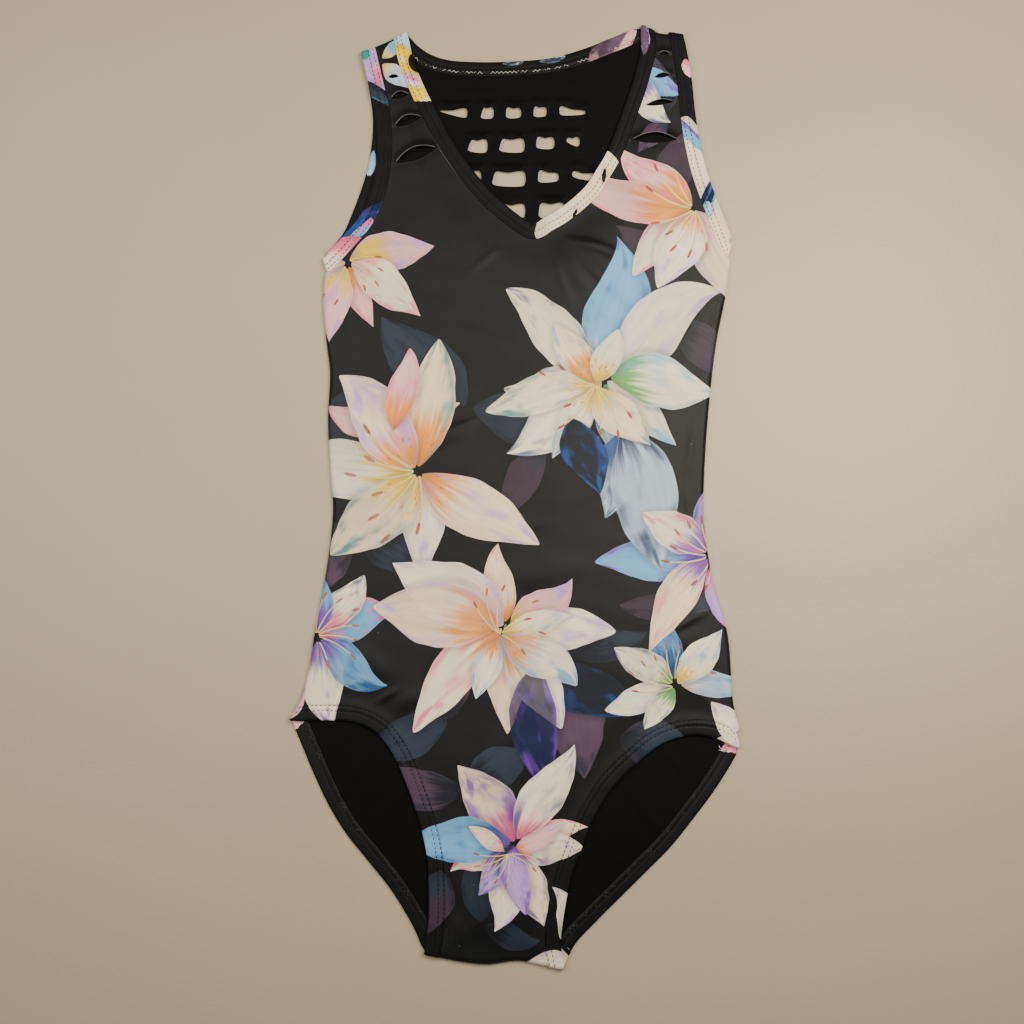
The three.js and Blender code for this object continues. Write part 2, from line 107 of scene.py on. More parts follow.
def table(columns, rows):
    """Rows with named columns, as dictionaries."""
    names = columns.split()
    return [dict(zip(names, row)) for row in rows]


LEFT_SIDE = table("y x", [
    (296, -104), (200, -112), (136, -120.2), (113, -121.6), (84, -118.6), (67, -116.4), (36, -117.2),
    (-1, -114.8), (-20, -113.2), (-51, -115.9), (-95, -123.2), (-117, -126.5), (-135, -131), (-148, -137.6),
    (-200, -115), (-296, -62)])
RIGHT_SIDE = table("y x", [
    (296, 118), (200, 130), (148, 137.2), (129, 135.5), (113, 132.7), (91, 127.9), (68, 124.3), (43, 121.4),
    (18, 119.1), (-8, 117.5), (-26, 117.2), (-60, 121.6), (-97, 130.8), (-137, 133.3), (-164, 137.2),
    (-200, 120), (-296, 38)])
SHOULDER_FOLD = table("x y", [
    (-104, 274.5), (-95, 278.8), (-80, 285.6), (-74.6, 288.6), (0, 300), (86.5, 293.6), (94, 290.2),
    (118, 288.6)])
CROTCH_FOLD = table("x y", [
    (-62, -286), (-45, -289.6), (-32, -292), (-17, -293.4), (2, -291.4), (18, -294.4), (38, -296)])

TURNS = {name: dict(x=x, y=y, angle=angle) for name, x, y, angle in [
    ("neckLeft", -74.6, 288.4, 31), ("neckRight", 86.5, 293.5, -26),
    ("armLeftTop", -95, 278.6, 19), ("armLeftSide", -120.7, 135.6, 107),
    ("armRightTop", 104.4, 289.8, -11), ("armRightSide", 136.4, 144.8, 74),
    ("legLeftHip", -135.6, -144, 61), ("legLeftCrotch", -50, -288.5, -12),
    ("legRightHip", 136, -160.4, 104), ("legRightCrotch", 24, -295.4, -11)]}

STRIPS = {
    "neck_binding": dict(turns=("neckLeft", "neckRight"), body_side=-1, front=[
        (-70.2, 271), (-61.2, 248), (-56.3, 238.2), (-44.4, 215.4), (-28.2, 191.6), (-14.7, 176.2),
        (-5.4, 168.1),
        (3, 161.6), (8, 158.3), (11.6, 157.2), (15.4, 158.3), (20.4, 161.8), (30, 167.6), (40.8, 176.2),
        (49.4, 184.9), (56.4, 196), (63.4, 208.4), (71.8, 230.6), (80.2, 255), (86, 279)], back=[
        (-66, 278.2), (-57.4, 272), (-44.8, 267.6), (-25.2, 266), (-2.3, 266.4), (22.8, 268.6), (44.5, 274.6),
        (62, 281.7), (75.5, 287.4)]),
    "arm_binding_left": dict(turns=("armLeftTop", "armLeftSide"), body_side=1, front=[
        (-88.3, 251), (-85.5, 239.7), (-83.5, 221.6), (-83.6, 206.4), (-85.2, 192.6), (-90.6, 172.8),
        (-96.4, 162.2), (-106, 150.6)], back=[
        (-88.6, 250), (-86.3, 230.7), (-88.1, 206.1), (-91.2, 191.9), (-95.6, 178), (-99.6, 167),
        (-104.2, 156),
        (-110, 147.6)]),
    "arm_binding_right": dict(turns=("armRightTop", "armRightSide"), body_side=-1, front=[
        (108.4, 261), (110.5, 237), (112.8, 219), (117, 198), (123, 179), (128.6, 163.4),
        (132, 153.6)], back=[
        (106.8, 258), (108.4, 236), (110.4, 218), (114.2, 198), (119.8, 179), (125.6, 163), (130, 152.6)]),
    "leg_hem_left": dict(turns=("legLeftHip", "legLeftCrotch"), body_side=1, front=[
        (-127, -144.4), (-112, -144), (-98.1, -145.2), (-88.4, -148.4), (-79.2, -154.6), (-71.5, -164.4),
        (-64.8, -177.2), (-58.4, -192.9), (-52.9, -209.4), (-49, -225.3), (-47.3, -243.1), (-47, -263.7),
        (-48.3, -278)], back=[
        (-129.4, -153), (-123.8, -165.8), (-117.8, -179.2), (-109.4, -196.3), (-99, -212.8), (-85.8, -228.8),
        (-72, -245.4), (-62.4, -259.7), (-55.4, -272)]),
    "leg_hem_right": dict(turns=("legRightHip", "legRightCrotch"), body_side=-1, front=[
        (125, -155.6), (112.1, -153.2), (97.8, -154.6), (83.6, -160.6), (69.6, -172), (56.4, -185),
        (44.6, -202.7), (36.5, -221.1), (28.7, -242.6), (23.8, -267.1), (22.6, -282)], back=[
        (126.4, -174), (116.2, -189.2), (103, -206.1), (90.2, -221.4), (75.1, -236.1), (59.9, -250.7),
        (44.8, -265.3), (31.8, -279)]),
}
HEMS = ("leg_hem_left", "leg_hem_right")
BINDINGS = ("neck_binding", "arm_binding_left", "arm_binding_right")

STRAP_CUTS = table("x y length width angle", [
    (-78, 259.6, 7, 2.4, 6), (-73.8, 246.6, 11, 4.8, 14), (-68.4, 229.8, 17.6, 6.4, 20),
    (-63, 207.2, 27.6, 8.4, 21), (96, 275.2, 6.6, 2.6, 0), (94.6, 260.2, 10, 3.2, 9),
    (92.5, 241.8, 17.6, 3.8, 8), (89.2, 217.8, 28, 7, 0)])
LATTICE = table("left right y depth lean left_height right_height", [
    (-47, -30.8, 236.4, 6.4, 0, 0.15, 1), (-20.8, -13.9, 236.4, 7.4, 1.6, 1, 1),
    (-4.5, 3.7, 236.6, 7.2, 0.4, 1, 0.9), (13.1, 20.1, 237.4, 7, 0.6, 1, 0.9),
    (30, 45.5, 237.8, 6.6, 0, 0.9, 0.35), (-29, -17.9, 214.4, 9, 1.8, 0.85, 1),
    (-8.9, 5.8, 214.8, 9.2, 1.6, 0.9, 1), (14.8, 25, 216.6, 8.6, 0.6, 0.9, 0.9),
    (34.4, 41.2, 217.4, 7.2, 0, 0.5, 0.9), (-31.5, -21.9, 193.4, 9.4, 0, 1, 1),
    (-13.4, 6.4, 192.8, 9.8, 1.6, 0.9, 1), (15.9, 27.7, 194.4, 8, 0.6, 1, 0.7),
    (37.9, 52, 194.8, 8.6, 0, 0.5, 0.55), (-8.6, 6.1, 171.4, 9.8, 1.6, 0.9, 1),
    (16.3, 31.2, 171.6, 10.8, 0.8, 0.9, 1)])
LINING_SETBACK = 1.3

# Soft folds of the front, as in the solids, then the smaller creases that only the cloth has
FOLDS = table("x y angle length width height", [
    (52, 141, -28, 66, 6, 1.6), (62, 126, -36, 60, 6, 1.3), (38, 131, -52, 48, 5, 1.0),
    (-96, 120, -58, 58, 7, 1.4), (-80, 96, -48, 56, 7, 1.1), (-42, 26, 24, 50, 5, 1.3),
    (108, 70, 62, 62, 7, 1.2), (-104, 20, 78, 64, 6, 0.9), (104, -82, 30, 52, 6, 1.5),
    (92, -104, 26, 60, 7, 1.2), (-92, -112, -34, 52, 7, 1.2), (-66, -138, 32, 34, 6, 1.3),
    (-12, -196, 86, 96, 6, 1.3), (-26, -248, 94, 70, 5, 1.1), (8, -254, 80, 64, 5, 1.0),
    (14, -60, 12, 92, 9, 1.0), (0, 60, -16, 96, 9, 0.9)])
CREASES = table("x y angle length width height", [
    (44, 150, -10, 34, 2.2, 0.5), (58, 146, -20, 40, 2.0, 0.45), (48, 132, -44, 36, 2.2, 0.5),
    (70, 112, -40, 44, 2.6, 0.5), (30, 124, -66, 36, 2.2, 0.4), (-20, 138, 40, 34, 2.4, 0.35),
    (-104, 128, -50, 30, 2.2, 0.5), (-98, 106, -60, 42, 2.4, 0.5), (-108, 92, -70, 36, 2.2, 0.4),
    (-88, 130, -40, 30, 2.2, 0.4), (-50, 26, 26, 38, 1.8, 0.7), (-30, 34, 22, 28, 1.8, 0.5),
    (-96, 4, 72, 44, 2.4, 0.4), (-104, -30, 80, 38, 2.2, 0.4), (112, 96, 56, 36, 2.2, 0.5),
    (116, 70, 70, 40, 2.2, 0.45), (110, 20, 80, 46, 2.4, 0.4), (108, -20, 96, 38, 2.2, 0.4),
    (112, -70, 34, 34, 2.2, 0.6), (104, -90, 28, 42, 2.2, 0.6), (92, -116, 22, 40, 2.4, 0.5),
    (116, -118, 40, 30, 2.2, 0.5), (-108, -100, -30, 34, 2.4, 0.5), (-98, -122, -24, 36, 2.2, 0.5),
    (-78, -134, 30, 24, 1.8, 0.6), (-60, -146, 44, 20, 1.8, 0.5), (-16, -176, 84, 50, 2.0, 0.45),
    (2, -212, 92, 58, 2.2, 0.5), (-30, -222, 98, 52, 2.0, 0.45), (-12, -262, 88, 40, 2.0, 0.5),
    (14, -230, 76, 44, 2.0, 0.45), (-34, -272, 100, 26, 1.8, 0.4), (10, -30, 14, 60, 3.4, 0.35),
    (-40, -60, -18, 54, 3.2, 0.35), (50, -10, 24, 50, 3.0, 0.3), (-20, 90, -24, 56, 3.2, 0.3)])
LINING_CREASES = table("x y angle length width height", [
    (-30, 250, 4, 60, 2.4, 0.3), (44, 254, -6, 50, 2.4, 0.3), (-96, -180, 62, 60, 2.4, 0.4),
    (-82, -206, 50, 60, 2.2, 0.4), (-106, -160, 40, 36, 2.0, 0.3), (100, -176, -46, 54, 2.4, 0.4),
    (80, -204, -50, 60, 2.2, 0.4), (60, -230, -46, 40, 2.2, 0.3)])


def smooth_value(rows, along, wanted, place):
    """Values of one column at places along another, on a smooth curve through the rows."""
    ordered = sorted(rows, key=lambda row: row[along])
    knots = np.array([row[along] for row in ordered], float)
    values = np.array([row[wanted] for row in ordered], float)
    slopes = np.empty_like(values)
    slopes[1:-1] = (values[2:] - values[:-2]) / (knots[2:] - knots[:-2])
    slopes[0] = (values[1] - values[0]) / (knots[1] - knots[0])
    slopes[-1] = (values[-1] - values[-2]) / (knots[-1] - knots[-2])
    place = np.asarray(place, float)
    index = np.clip(np.searchsorted(knots, place) - 1, 0, len(knots) - 2)
    span = knots[index + 1] - knots[index]
    t = np.clip((place - knots[index]) / span, 0, 1)
    start_weight = 2 * t ** 3 - 3 * t ** 2 + 1
    start_slope = (t ** 3 - 2 * t ** 2 + t) * span * slopes[index]
    end_slope = (t ** 3 - t ** 2) * span * slopes[index + 1]
    return start_weight * values[index] + (1 - start_weight) * values[index + 1] + start_slope + end_slope


def left_edge(y):
    return smooth_value(LEFT_SIDE, "y", "x", y)


def right_edge(y):
    return smooth_value(RIGHT_SIDE, "y", "x", y)


def top_edge(x):
    return smooth_value(SHOULDER_FOLD, "x", "y", x)


def bottom_edge(x):
    return smooth_value(CROTCH_FOLD, "x", "y", x)


def smoothstep(value, low, high):
    t = np.clip((value - low) / (high - low), 0, 1)
    return t * t * (3 - 2 * t)


def rotated(dx, dy, degrees):
    """Distances along a direction and aside from it."""
    angle = math.radians(degrees)
    return dx * math.cos(angle) + dy * math.sin(angle), dy * math.cos(angle) - dx * math.sin(angle)


def placed_at(x, y, along, aside, degrees):
    """The place that lies along a direction and aside from it, seen from x and y."""
    angle = math.radians(degrees)
    across = x + along * math.cos(angle) - aside * math.sin(angle)
    return across, y + along * math.sin(angle) + aside * math.cos(angle)


def turn_frame(name):
    """A turn's fold line, its inward direction and the middle of the half circle that a strip makes there."""
    turn = TURNS[name]
    angle = math.radians(turn["angle"])
    line = np.array([math.cos(angle), math.sin(angle)])
    inward = np.array([-line[1], line[0]])
    place = np.array([turn["x"], turn["y"]])
    if inward @ place > 0:
        inward = -inward
    middle = place + inward * (STRIP_TURN + STRIP_THICKNESS / 2)
    return dict(line=line, inward=inward, place=place, middle=middle)


def smooth_path(points, step):
    """Evenly spaced points on a centripetal Catmull-Rom curve, with their headings and lengths run."""
    points = np.array(points, float)
    padded = np.vstack([2 * points[0] - points[1], points, 2 * points[-1] - points[-2]])
    dense = []
    for p0, p1, p2, p3 in zip(padded, padded[1:], padded[2:], padded[3:]):
        d0, d1, d2 = (max(np.linalg.norm(b - a), 1e-4) ** 0.5 for a, b in ((p0, p1), (p1, p2), (p2, p3)))
        m1 = ((p1 - p0) / d0 - (p2 - p0) / (d0 + d1) + (p2 - p1) / d1) * d1
        m2 = ((p2 - p1) / d1 - (p3 - p1) / (d1 + d2) + (p3 - p2) / d2) * d1
        square = 3 * (p2 - p1) - 2 * m1 - m2
        cube = 2 * (p1 - p2) + m1 + m2
        t = np.linspace(0, 1, CURVE_STEPS, endpoint=False)[:, None]
        dense.append(p1 + m1 * t + square * t ** 2 + cube * t ** 3)
    dense = np.vstack([*dense, points[-1:]])
    run = np.concatenate([[0], np.cumsum(np.linalg.norm(np.diff(dense, axis=0), axis=1))])
    count = max(int(round(run[-1] / step)), 2)
    wanted = np.linspace(0, run[-1], count + 1)
    place = np.stack([np.interp(wanted, run, dense[:, i]) for i in (0, 1)], 1)
    heading = np.gradient(place, axis=0)
    heading /= np.linalg.norm(heading, axis=1)[:, None]
    return place, heading, wanted


def strand(name, face):
    """One face of a strip: places, level directions across it towards the body, and lengths run."""
    strip = STRIPS[name]
    start, end = (turn_frame(turn) for turn in strip["turns"])
    place, heading, run = smooth_path([start["middle"], *strip[face], end["middle"]], STRAND_STEP)
    across = np.stack([-heading[:, 1], heading[:, 0]], 1) * strip["body_side"]
    for turn, distance in ((start, run), (end, run[-1] - run)):
        towards = turn["line"] * np.sign(across @ turn["line"])[:, None]
        blend = (1 - smoothstep(distance, 0, STRIP_SETTLE))[:, None]
        across = across * (1 - blend) + towards * blend
        across /= np.linalg.norm(across, axis=1)[:, None]
    return dict(place=place, across=across, run=run)


STRANDS = {name: {face: strand(name, face) for face in ("front", "back")} for name in STRIPS}


def nearest_distance(x, y, points):
    """Distance from each place to the nearest of a few thousand points."""
    tree = KDTree(len(points))
    for i, (px, py) in enumerate(points):
        tree.insert((px, py, 0), i)
    tree.balance()
    return np.array([tree.find((a, b, 0))[2] for a, b in zip(x.tolist(), y.tolist())])


def fold_distance(x, y):
    """Distances to the nearest side fold and to the nearest end fold."""
    side = np.minimum(x - left_edge(y), right_edge(y) - x)
    end = np.minimum(y - bottom_edge(x), top_edge(x) - y)
    return side, end


def ridge_height(x, y, rows):
    """Height of soft ridges laid out by a table."""
    height = np.zeros_like(x)
    for row in rows:
        along, across = rotated(x - row["x"], y - row["y"], row["angle"])
        reach = np.maximum(0, 1 - (2 * along / row["length"]) ** 2)
        height += row["height"] * reach ** 2 * np.exp(-((across / row["width"]) ** 2))
    return height


def ripple(x, y, scale, seed):
    """A gentle uneven swell between -1 and 1, the same each run."""
    draws = random.Random(seed)
    total = np.zeros_like(x)
    for _ in range(7):
        angle = draws.uniform(0, math.tau)
        phase = draws.uniform(0, math.tau)
        stretch = draws.uniform(0.6, 1.6)
        total += np.sin((x * math.cos(angle) + y * math.sin(angle)) / (scale * stretch) + phase)
    return total / 5


def front_height(x, y):
    """Height of the front's outer face."""
    side, end = fold_distance(x, y)
    middles = np.vstack([STRANDS[name]["front"]["place"] for name in STRIPS])
    from_strip = nearest_distance(x, y, middles)
    edge = np.maximum(np.minimum(np.minimum(side, end), from_strip), 0)
    free = smoothstep(edge, LOFT_START, LOFT_FULL)
    near = smoothstep(edge, LOFT_START, CREASE_FULL)
    lift = LOFT * free + ridge_height(x, y, FOLDS) * free
    creases = ridge_height(x, y, CREASES) * CREASE_DEPTH
    lift += (creases + 0.24 * ripple(x, y, 9, 3) + 0.1 * ripple(x, y, 3.6, 8)) * near
    hems = np.vstack([STRANDS[name]["front"]["place"] for name in HEMS])
    from_hem = np.maximum(nearest_distance(x, y, hems) - STRIP_WIDTH / 2, 0)
    lift += HEM_SWELL * np.exp(-((from_hem / HEM_SWELL_REACH) ** 2))
    roll = 1.0
    for distance in (side, end):
        share = np.clip(distance / ROLL_DEPTH, 0, 1)
        roll = roll * np.sqrt(np.maximum(1 - (1 - share) ** 2, 0))
    return SEAM_GAP + (FRONT_TOP - SEAM_GAP + lift) * roll


def strip_edge(name, face, reach):
    """A strip's own edge moved out, from the outline at its first turn to the outline at its second."""
    line = STRANDS[name][face]
    edge = line["place"] + line["across"] * reach
    first, last = (turn_frame(turn) for turn in STRIPS[name]["turns"])
    start = first["place"] + line["across"][0] * reach
    end = last["place"] + line["across"][-1] * reach
    return np.vstack([start, edge, end])


def spaced(start, end, step):
    """Evenly spaced values between two ends, without the ends."""
    count = max(int(round(abs(end - start) / step)), 1)
    return np.linspace(start, end, count + 1)[1:-1]


def panel_outline(face, reach, inset, step):
    """The closed outline of a panel, anticlockwise from its crotch, and the points of its folded edges."""
    hem_left, hem_right = (strip_edge(name, face, reach) for name in HEMS)
    neck, arm_left, arm_right = (strip_edge(name, face, reach) for name in BINDINGS)

    def folded(start, end, horizontal):
        if horizontal:
            x = spaced(start[0], end[0], step)
            edge = bottom_edge(x) + inset if start[1] < 0 else top_edge(x) - inset
            return np.stack([x, edge], 1)
        y = spaced(start[1], end[1], step)
        edge = left_edge(y) + inset if start[0] < 0 else right_edge(y) - inset
        return np.stack([edge, y], 1)

    folds = [
        folded(hem_left[-1], hem_right[-1], True),
        folded(hem_right[0], arm_right[-1], False),
        folded(arm_right[0], neck[-1], True),
        folded(neck[0], arm_left[0], True),
        folded(arm_left[-1], hem_left[0], False),
    ]
    chain = [folds[0], hem_right[::-1], folds[1], arm_right[::-1], folds[2], neck[::-1], folds[3], arm_left,
             folds[4], hem_left]
    return tidy_loop(np.vstack(chain), step * 0.45), folds


def tidy_loop(points, least):
    """Drops points that lie too close to the one before."""
    kept = [points[0]]
    for point in points[1:]:
        if np.linalg.norm(point - kept[-1]) > least:
            kept.append(point)
    if np.linalg.norm(kept[0] - kept[-1]) < least:
        kept.pop()
    return np.array(kept)


def inside(points, loop):
    """Whether each point lies within a closed loop."""
    x, y = points[:, 0], points[:, 1]
    result = np.zeros(len(points), bool)
    for (x0, y0), (x1, y1) in zip(loop, np.roll(loop, -1, axis=0)):
        if y0 != y1:
            crosses = ((y0 > y) != (y1 > y)) & (x < (x1 - x0) * (y - y0) / (y1 - y0) + x0)
            result ^= crosses
    return result


def lens(row, grow=0.0):
    """Outline of a strap cut: an arched upper edge over a flatter lower one."""
    share = np.linspace(-0.5, 0.5, LENS_POINTS, endpoint=False)
    bow = 1 - (2 * share) ** 2
    upper = row["width"] * 0.62 * bow + grow
    lower = row["width"] * 0.38 * bow + grow
    along = np.concatenate([share, -share]) * (row["length"] + 2 * grow)
    across = np.concatenate([-lower, upper])
    outline = placed_at(row["x"], row["y"], along, across, row["angle"])
    return tidy_loop(np.stack(outline, 1), 0.12)


def window(row, left_shift):
    """Outline of a lattice window: an uneven four-sided hole with a sagging upper lip and soft corners."""
    x0 = row["left"] - left_shift
    x1 = row["right"]
    depth = row["depth"]
    lean = row["lean"]
    bottom = row["y"] - depth / 2
    top = row["y"] + depth / 2
    left_drop = depth * (1 - row["left_height"])
    right_drop = depth * (1 - row["right_height"])
    left_low = bottom + left_drop * 0.7
    left_top = top - left_drop * 0.3
    right_low = bottom + right_drop * 0.25
    right_top = top - right_drop * 0.75
    corner = min(depth, x1 - x0) / 7
    small = min(corner, (left_top - left_low) / 3)
    sag = depth / 12
    points = [(x0, left_low + small), (x0 + corner, left_low), (x1 - corner, right_low),
              (x1, right_low + corner), (x1, right_top - corner), (x1 - corner, right_top),
              ((x0 + x1) / 2, (left_top + right_top) / 2 - sag), (x0 + lean + corner, left_top),
              (x0 + lean, left_top - small)]
    place, _, _ = smooth_path([*points, points[0]], WINDOW_STEP)
    return place[:-1]


def around(hole, grow):
    """The outline of a hole moved out from its middle."""
    away = hole - hole.mean(axis=0)
    return hole + away / np.linalg.norm(away, axis=1)[:, None] * grow


def point_grid(outline, holes, step):
    """Evenly spread points within an outline and outside its holes."""
    low, high = outline.min(axis=0), outline.max(axis=0)
    rows = []
    for i, y in enumerate(np.arange(low[1], high[1], step * math.sqrt(3) / 2)):
        x = np.arange(low[0] + (i % 2) * step / 2, high[0], step)
        rows.append(np.stack([x, np.full_like(x, y)], 1))
    grid = np.vstack(rows)
    grid = grid[inside(grid, outline)]
    for hole in holes:
        grid = grid[~inside(grid, hole)]
    return grid


def triangulate(outline, holes, guides, step):
    """Triangles that fill an outline around its holes, with guide points kept and a grid between them."""
    fixed = [outline, *holes]
    borders = np.vstack(fixed)
    clear = nearest_distance(guides[:, 0], guides[:, 1], borders) > RAW_WIDTH * 0.6
    taken = np.vstack([borders, guides[inside(guides, outline) & clear]])
    grid = point_grid(outline, holes, step)
    grid = grid[nearest_distance(grid[:, 0], grid[:, 1], taken) > step * 0.62]
    points = np.vstack([taken, grid])
    loops = []
    start = 0
    for loop in fixed:
        loops.append(list(range(start, start + len(loop))))
        start += len(loop)
    edges = [(a, b) for loop in loops[1:] for a, b in zip(loop, loop[1:] + loop[:1])]
    result = delaunay_2d_cdt([Vector(p) for p in points.tolist()], edges, [loops[0]], 1, 1e-5)
    places = np.array([tuple(v) for v in result[0]])
    triangles = np.array([tuple(f) for f in result[2]])
    for hole in holes:
        middles = places[triangles].mean(axis=1)
        triangles = triangles[~inside(middles, hole)]
    return places, triangles


def shell(places, heights, triangles, wall):
    """A closed thin wall: the outer face, the inner face a wall's thickness behind it, and the rims."""
    outer = np.column_stack([places, heights])
    a, b, c = (outer[triangles[:, i]] for i in range(3))
    face_normals = np.cross(b - a, c - a)
    flipped = face_normals[:, 2] < 0
    triangles = np.where(flipped[:, None], triangles[:, ::-1], triangles)
    face_normals[flipped] *= -1
    normals = np.zeros_like(outer)
    for i in range(3):
        np.add.at(normals, triangles[:, i], face_normals)
    normals /= np.maximum(np.linalg.norm(normals, axis=1)[:, None], 1e-12)
    inner = outer - normals * wall
    inner[:, 2] = np.maximum(inner[:, 2], LOWEST)
    count = len(outer)
    edges = np.vstack([triangles[:, [0, 1]], triangles[:, [1, 2]], triangles[:, [2, 0]]])
    forward = set(map(tuple, edges.tolist()))
    rim = np.array([edge for edge in forward if (edge[1], edge[0]) not in forward])
    rim = rim[np.lexsort((rim[:, 1], rim[:, 0]))]
    walls = np.vstack([np.column_stack([rim[:, 1], rim[:, 0], rim[:, 0] + count]),
                       np.column_stack([rim[:, 1], rim[:, 0] + count, rim[:, 1] + count])])
    faces = np.vstack([triangles, triangles[:, ::-1] + count, walls])
    return np.vstack([outer, inner]), faces


def add_fields(mesh, fields):
    """Gives a mesh its vertex fields, and the cloth's own place as its UV map."""
    for field, values in fields.items():
        if field == "cloth_uv":
            corners = np.empty(len(mesh.loops), np.int32)
            mesh.loops.foreach_get("vertex_index", corners)
            layer = mesh.uv_layers.new(name=field)
            layer.data.foreach_set("uv", values[corners].astype(np.float32).ravel())
            continue
        kind, key = ("FLOAT_COLOR", "color") if values.shape[1] == 4 else ("FLOAT_VECTOR", "vector")
        attribute = mesh.attributes.new(field, kind, "POINT")
        attribute.data.foreach_set(key, values.astype(np.float32).ravel())


def add_piece(name, mesh):
    """A mesh as a named piece that rides the body."""
    piece = bpy.data.objects.new(name, mesh)
    bpy.context.scene.collection.objects.link(piece)
    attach(piece, BODY)
    return piece


def cloth_object(name, points, faces, fields, material, sharp=50):
    """A piece from points in table millimetres, with its vertex fields and material."""
    mesh = bpy.data.meshes.new(name)
    placed = points.copy()
    placed[:, :2] -= OUTLINE_MIDDLE
    mesh.from_pydata((placed * MM).tolist(), [], faces.tolist())
    mesh.validate()
    add_fields(mesh, fields)
    mesh.shade_smooth()
    mesh.set_sharp_from_angle(angle=math.radians(sharp))
    mesh.materials.append(material)
    return add_piece(name, mesh)


# The print: loose blossoms on a black ground, with dark ghost petals behind them
COLOURS = {
    "ivory": (1.00, 0.95, 0.85), "cream": (1.00, 0.91, 0.77), "blush": (0.98, 0.76, 0.76),
    "lilac": (0.78, 0.64, 0.90), "sky": (0.46, 0.70, 0.88), "blue": (0.10, 0.30, 0.58),
    "navy": (0.06, 0.10, 0.28), "teal": (0.12, 0.54, 0.60), "yellow": (1.00, 0.84, 0.00),
    "orange": (1.00, 0.60, 0.02), "pink": (0.98, 0.38, 0.60), "violet": (0.46, 0.26, 0.74),
    "green": (0.34, 0.68, 0.22), "slate": (0.17, 0.21, 0.27), "plum": (0.26, 0.20, 0.26),
    "night": (0.07, 0.09, 0.14), "mauve": (0.38, 0.29, 0.38), "mist": (0.74, 0.82, 0.90),
    "black": (0.04, 0.04, 0.045),
}
PALETTES = {
    "sun": dict(inner="yellow yellow orange", outer="ivory cream ivory", wash="lilac sky teal mist"),
    "cool": dict(inner="green blue yellow ivory", outer="ivory mist sky ivory", wash="sky blue teal lilac"),
    "rose": dict(inner="orange yellow blush", outer="cream ivory blush", wash="pink lilac pink"),
    "dusk": dict(inner="violet navy pink", outer="lilac ivory sky cream", wash="violet blue pink"),
    "deep": dict(inner="navy blue violet", outer="sky mist blush blue", wash="navy blue teal"),
    "ink": dict(inner="night navy", outer="navy night", wash="blue violet blue"),
    "ghost": dict(inner="night slate", outer="slate plum mauve slate", wash="plum night slate"),
}
BLOOMS = table("x y turn spread count length squash palette heart layer seed", [
    (56, 62, 90, 360, 8, 74, 0.25, "cool", 0, 1, 3), (50, 58, 250, 360, 6, 56, 0.20, "sun", 1, 3, 4),
    (66, 30, 285, 130, 4, 66, 0.1, "deep", 0, 1, 5), (34, 40, 238, 60, 2, 62, 0.1, "ink", 0, 2, 24),
    (-60, 4, 200, 250, 6, 78, 0.15, "sun", 1, 2, 6), (-76, 26, 96, 110, 3, 52, 0.1, "rose", 0, 1, 7),
    (-106, 138, 296, 170, 5, 46, 0.1, "rose", 1, 2, 8),
    (122, -48, 184, 180, 5, 54, 0.1, "dusk", 1, 2, 9),
    (-6, -92, 240, 300, 8, 66, 0.25, "rose", 0, 1, 10), (-10, -96, 60, 330, 6, 48, 0.2, "sun", 1, 3, 11),
    (98, -128, 120, 220, 6, 46, 0.2, "cool", 1, 2, 12), (14, -112, 300, 70, 2, 60, 0.1, "ink", 0, 2, 25),
    (-122, -98, 10, 160, 5, 50, 0.1, "dusk", 1, 2, 13),
    (0, -222, 100, 340, 8, 56, 0.2, "dusk", 0, 1, 14), (-4, -228, 280, 300, 6, 40, 0.15, "rose", 1, 3, 15),
    (114, 172, 215, 150, 5, 60, 0.1, "rose", 1, 2, 16), (74, 262, 300, 120, 3, 34, 0.1, "dusk", 0, 2, 17),
    (-88, 270, 330, 150, 3, 20, 0.1, "cool", 0, 2, 18), (36, -290, 120, 140, 4, 34, 0.1, "cool", 0, 2, 19),
    (98, 232, 160, 150, 3, 34, 0.1, "ghost", 0, 0, 20), (-146, -150, 20, 70, 2, 22, 0.1, "rose", 0, 3, 21),
    (150, -164, 150, 80, 3, 28, 0.1, "rose", 0, 3, 22)])
GHOSTS = table("x y turn spread count length squash seed", [
    (96, 96, 60, 130, 3, 62, 0.1, 31), (-30, 44, 50, 120, 3, 62, 0.1, 33),
    (-96, -30, 270, 110, 3, 58, 0.1, 34), (30, -110, 330, 120, 3, 62, 0.1, 35),
    (-30, -190, 110, 150, 4, 56, 0.1, 37),
    (26, -196, 60, 120, 3, 52, 0.1, 38), (96, 176, 150, 120, 3, 58, 0.1, 39),
    (104, -84, 100, 110, 3, 44, 0.1, 40), (-20, -270, 60, 160, 4, 46, 0.1, 42),
    (-44, -236, 200, 90, 2, 46, 0.1, 43), (40, -250, 320, 90, 2, 42, 0.1, 44),
    (-40, -150, 150, 100, 3, 56, 0.1, 45), (60, -160, 20, 90, 2, 56, 0.1, 46),
    (-100, 60, 300, 80, 2, 56, 0.1, 47), (20, 20, 190, 100, 3, 60, 0.1, 48)])
LAYER_COUNT = 5
GHOST_LAYERS = 1
DEPTH_RANGE = 5.0
PETAL_SCALE = 1.05
ROUNDED_SCALE = 2.424
POINTED_SCALE = 4.313
HEART_REACH = 0.75
NO_HEART = 900.0


def linear(colour):
    """An sRGB colour in linear light."""
    return [c / 12.92 if c <= 0.04045 else ((c + 0.055) / 1.055) ** 2.4 for c in colour]


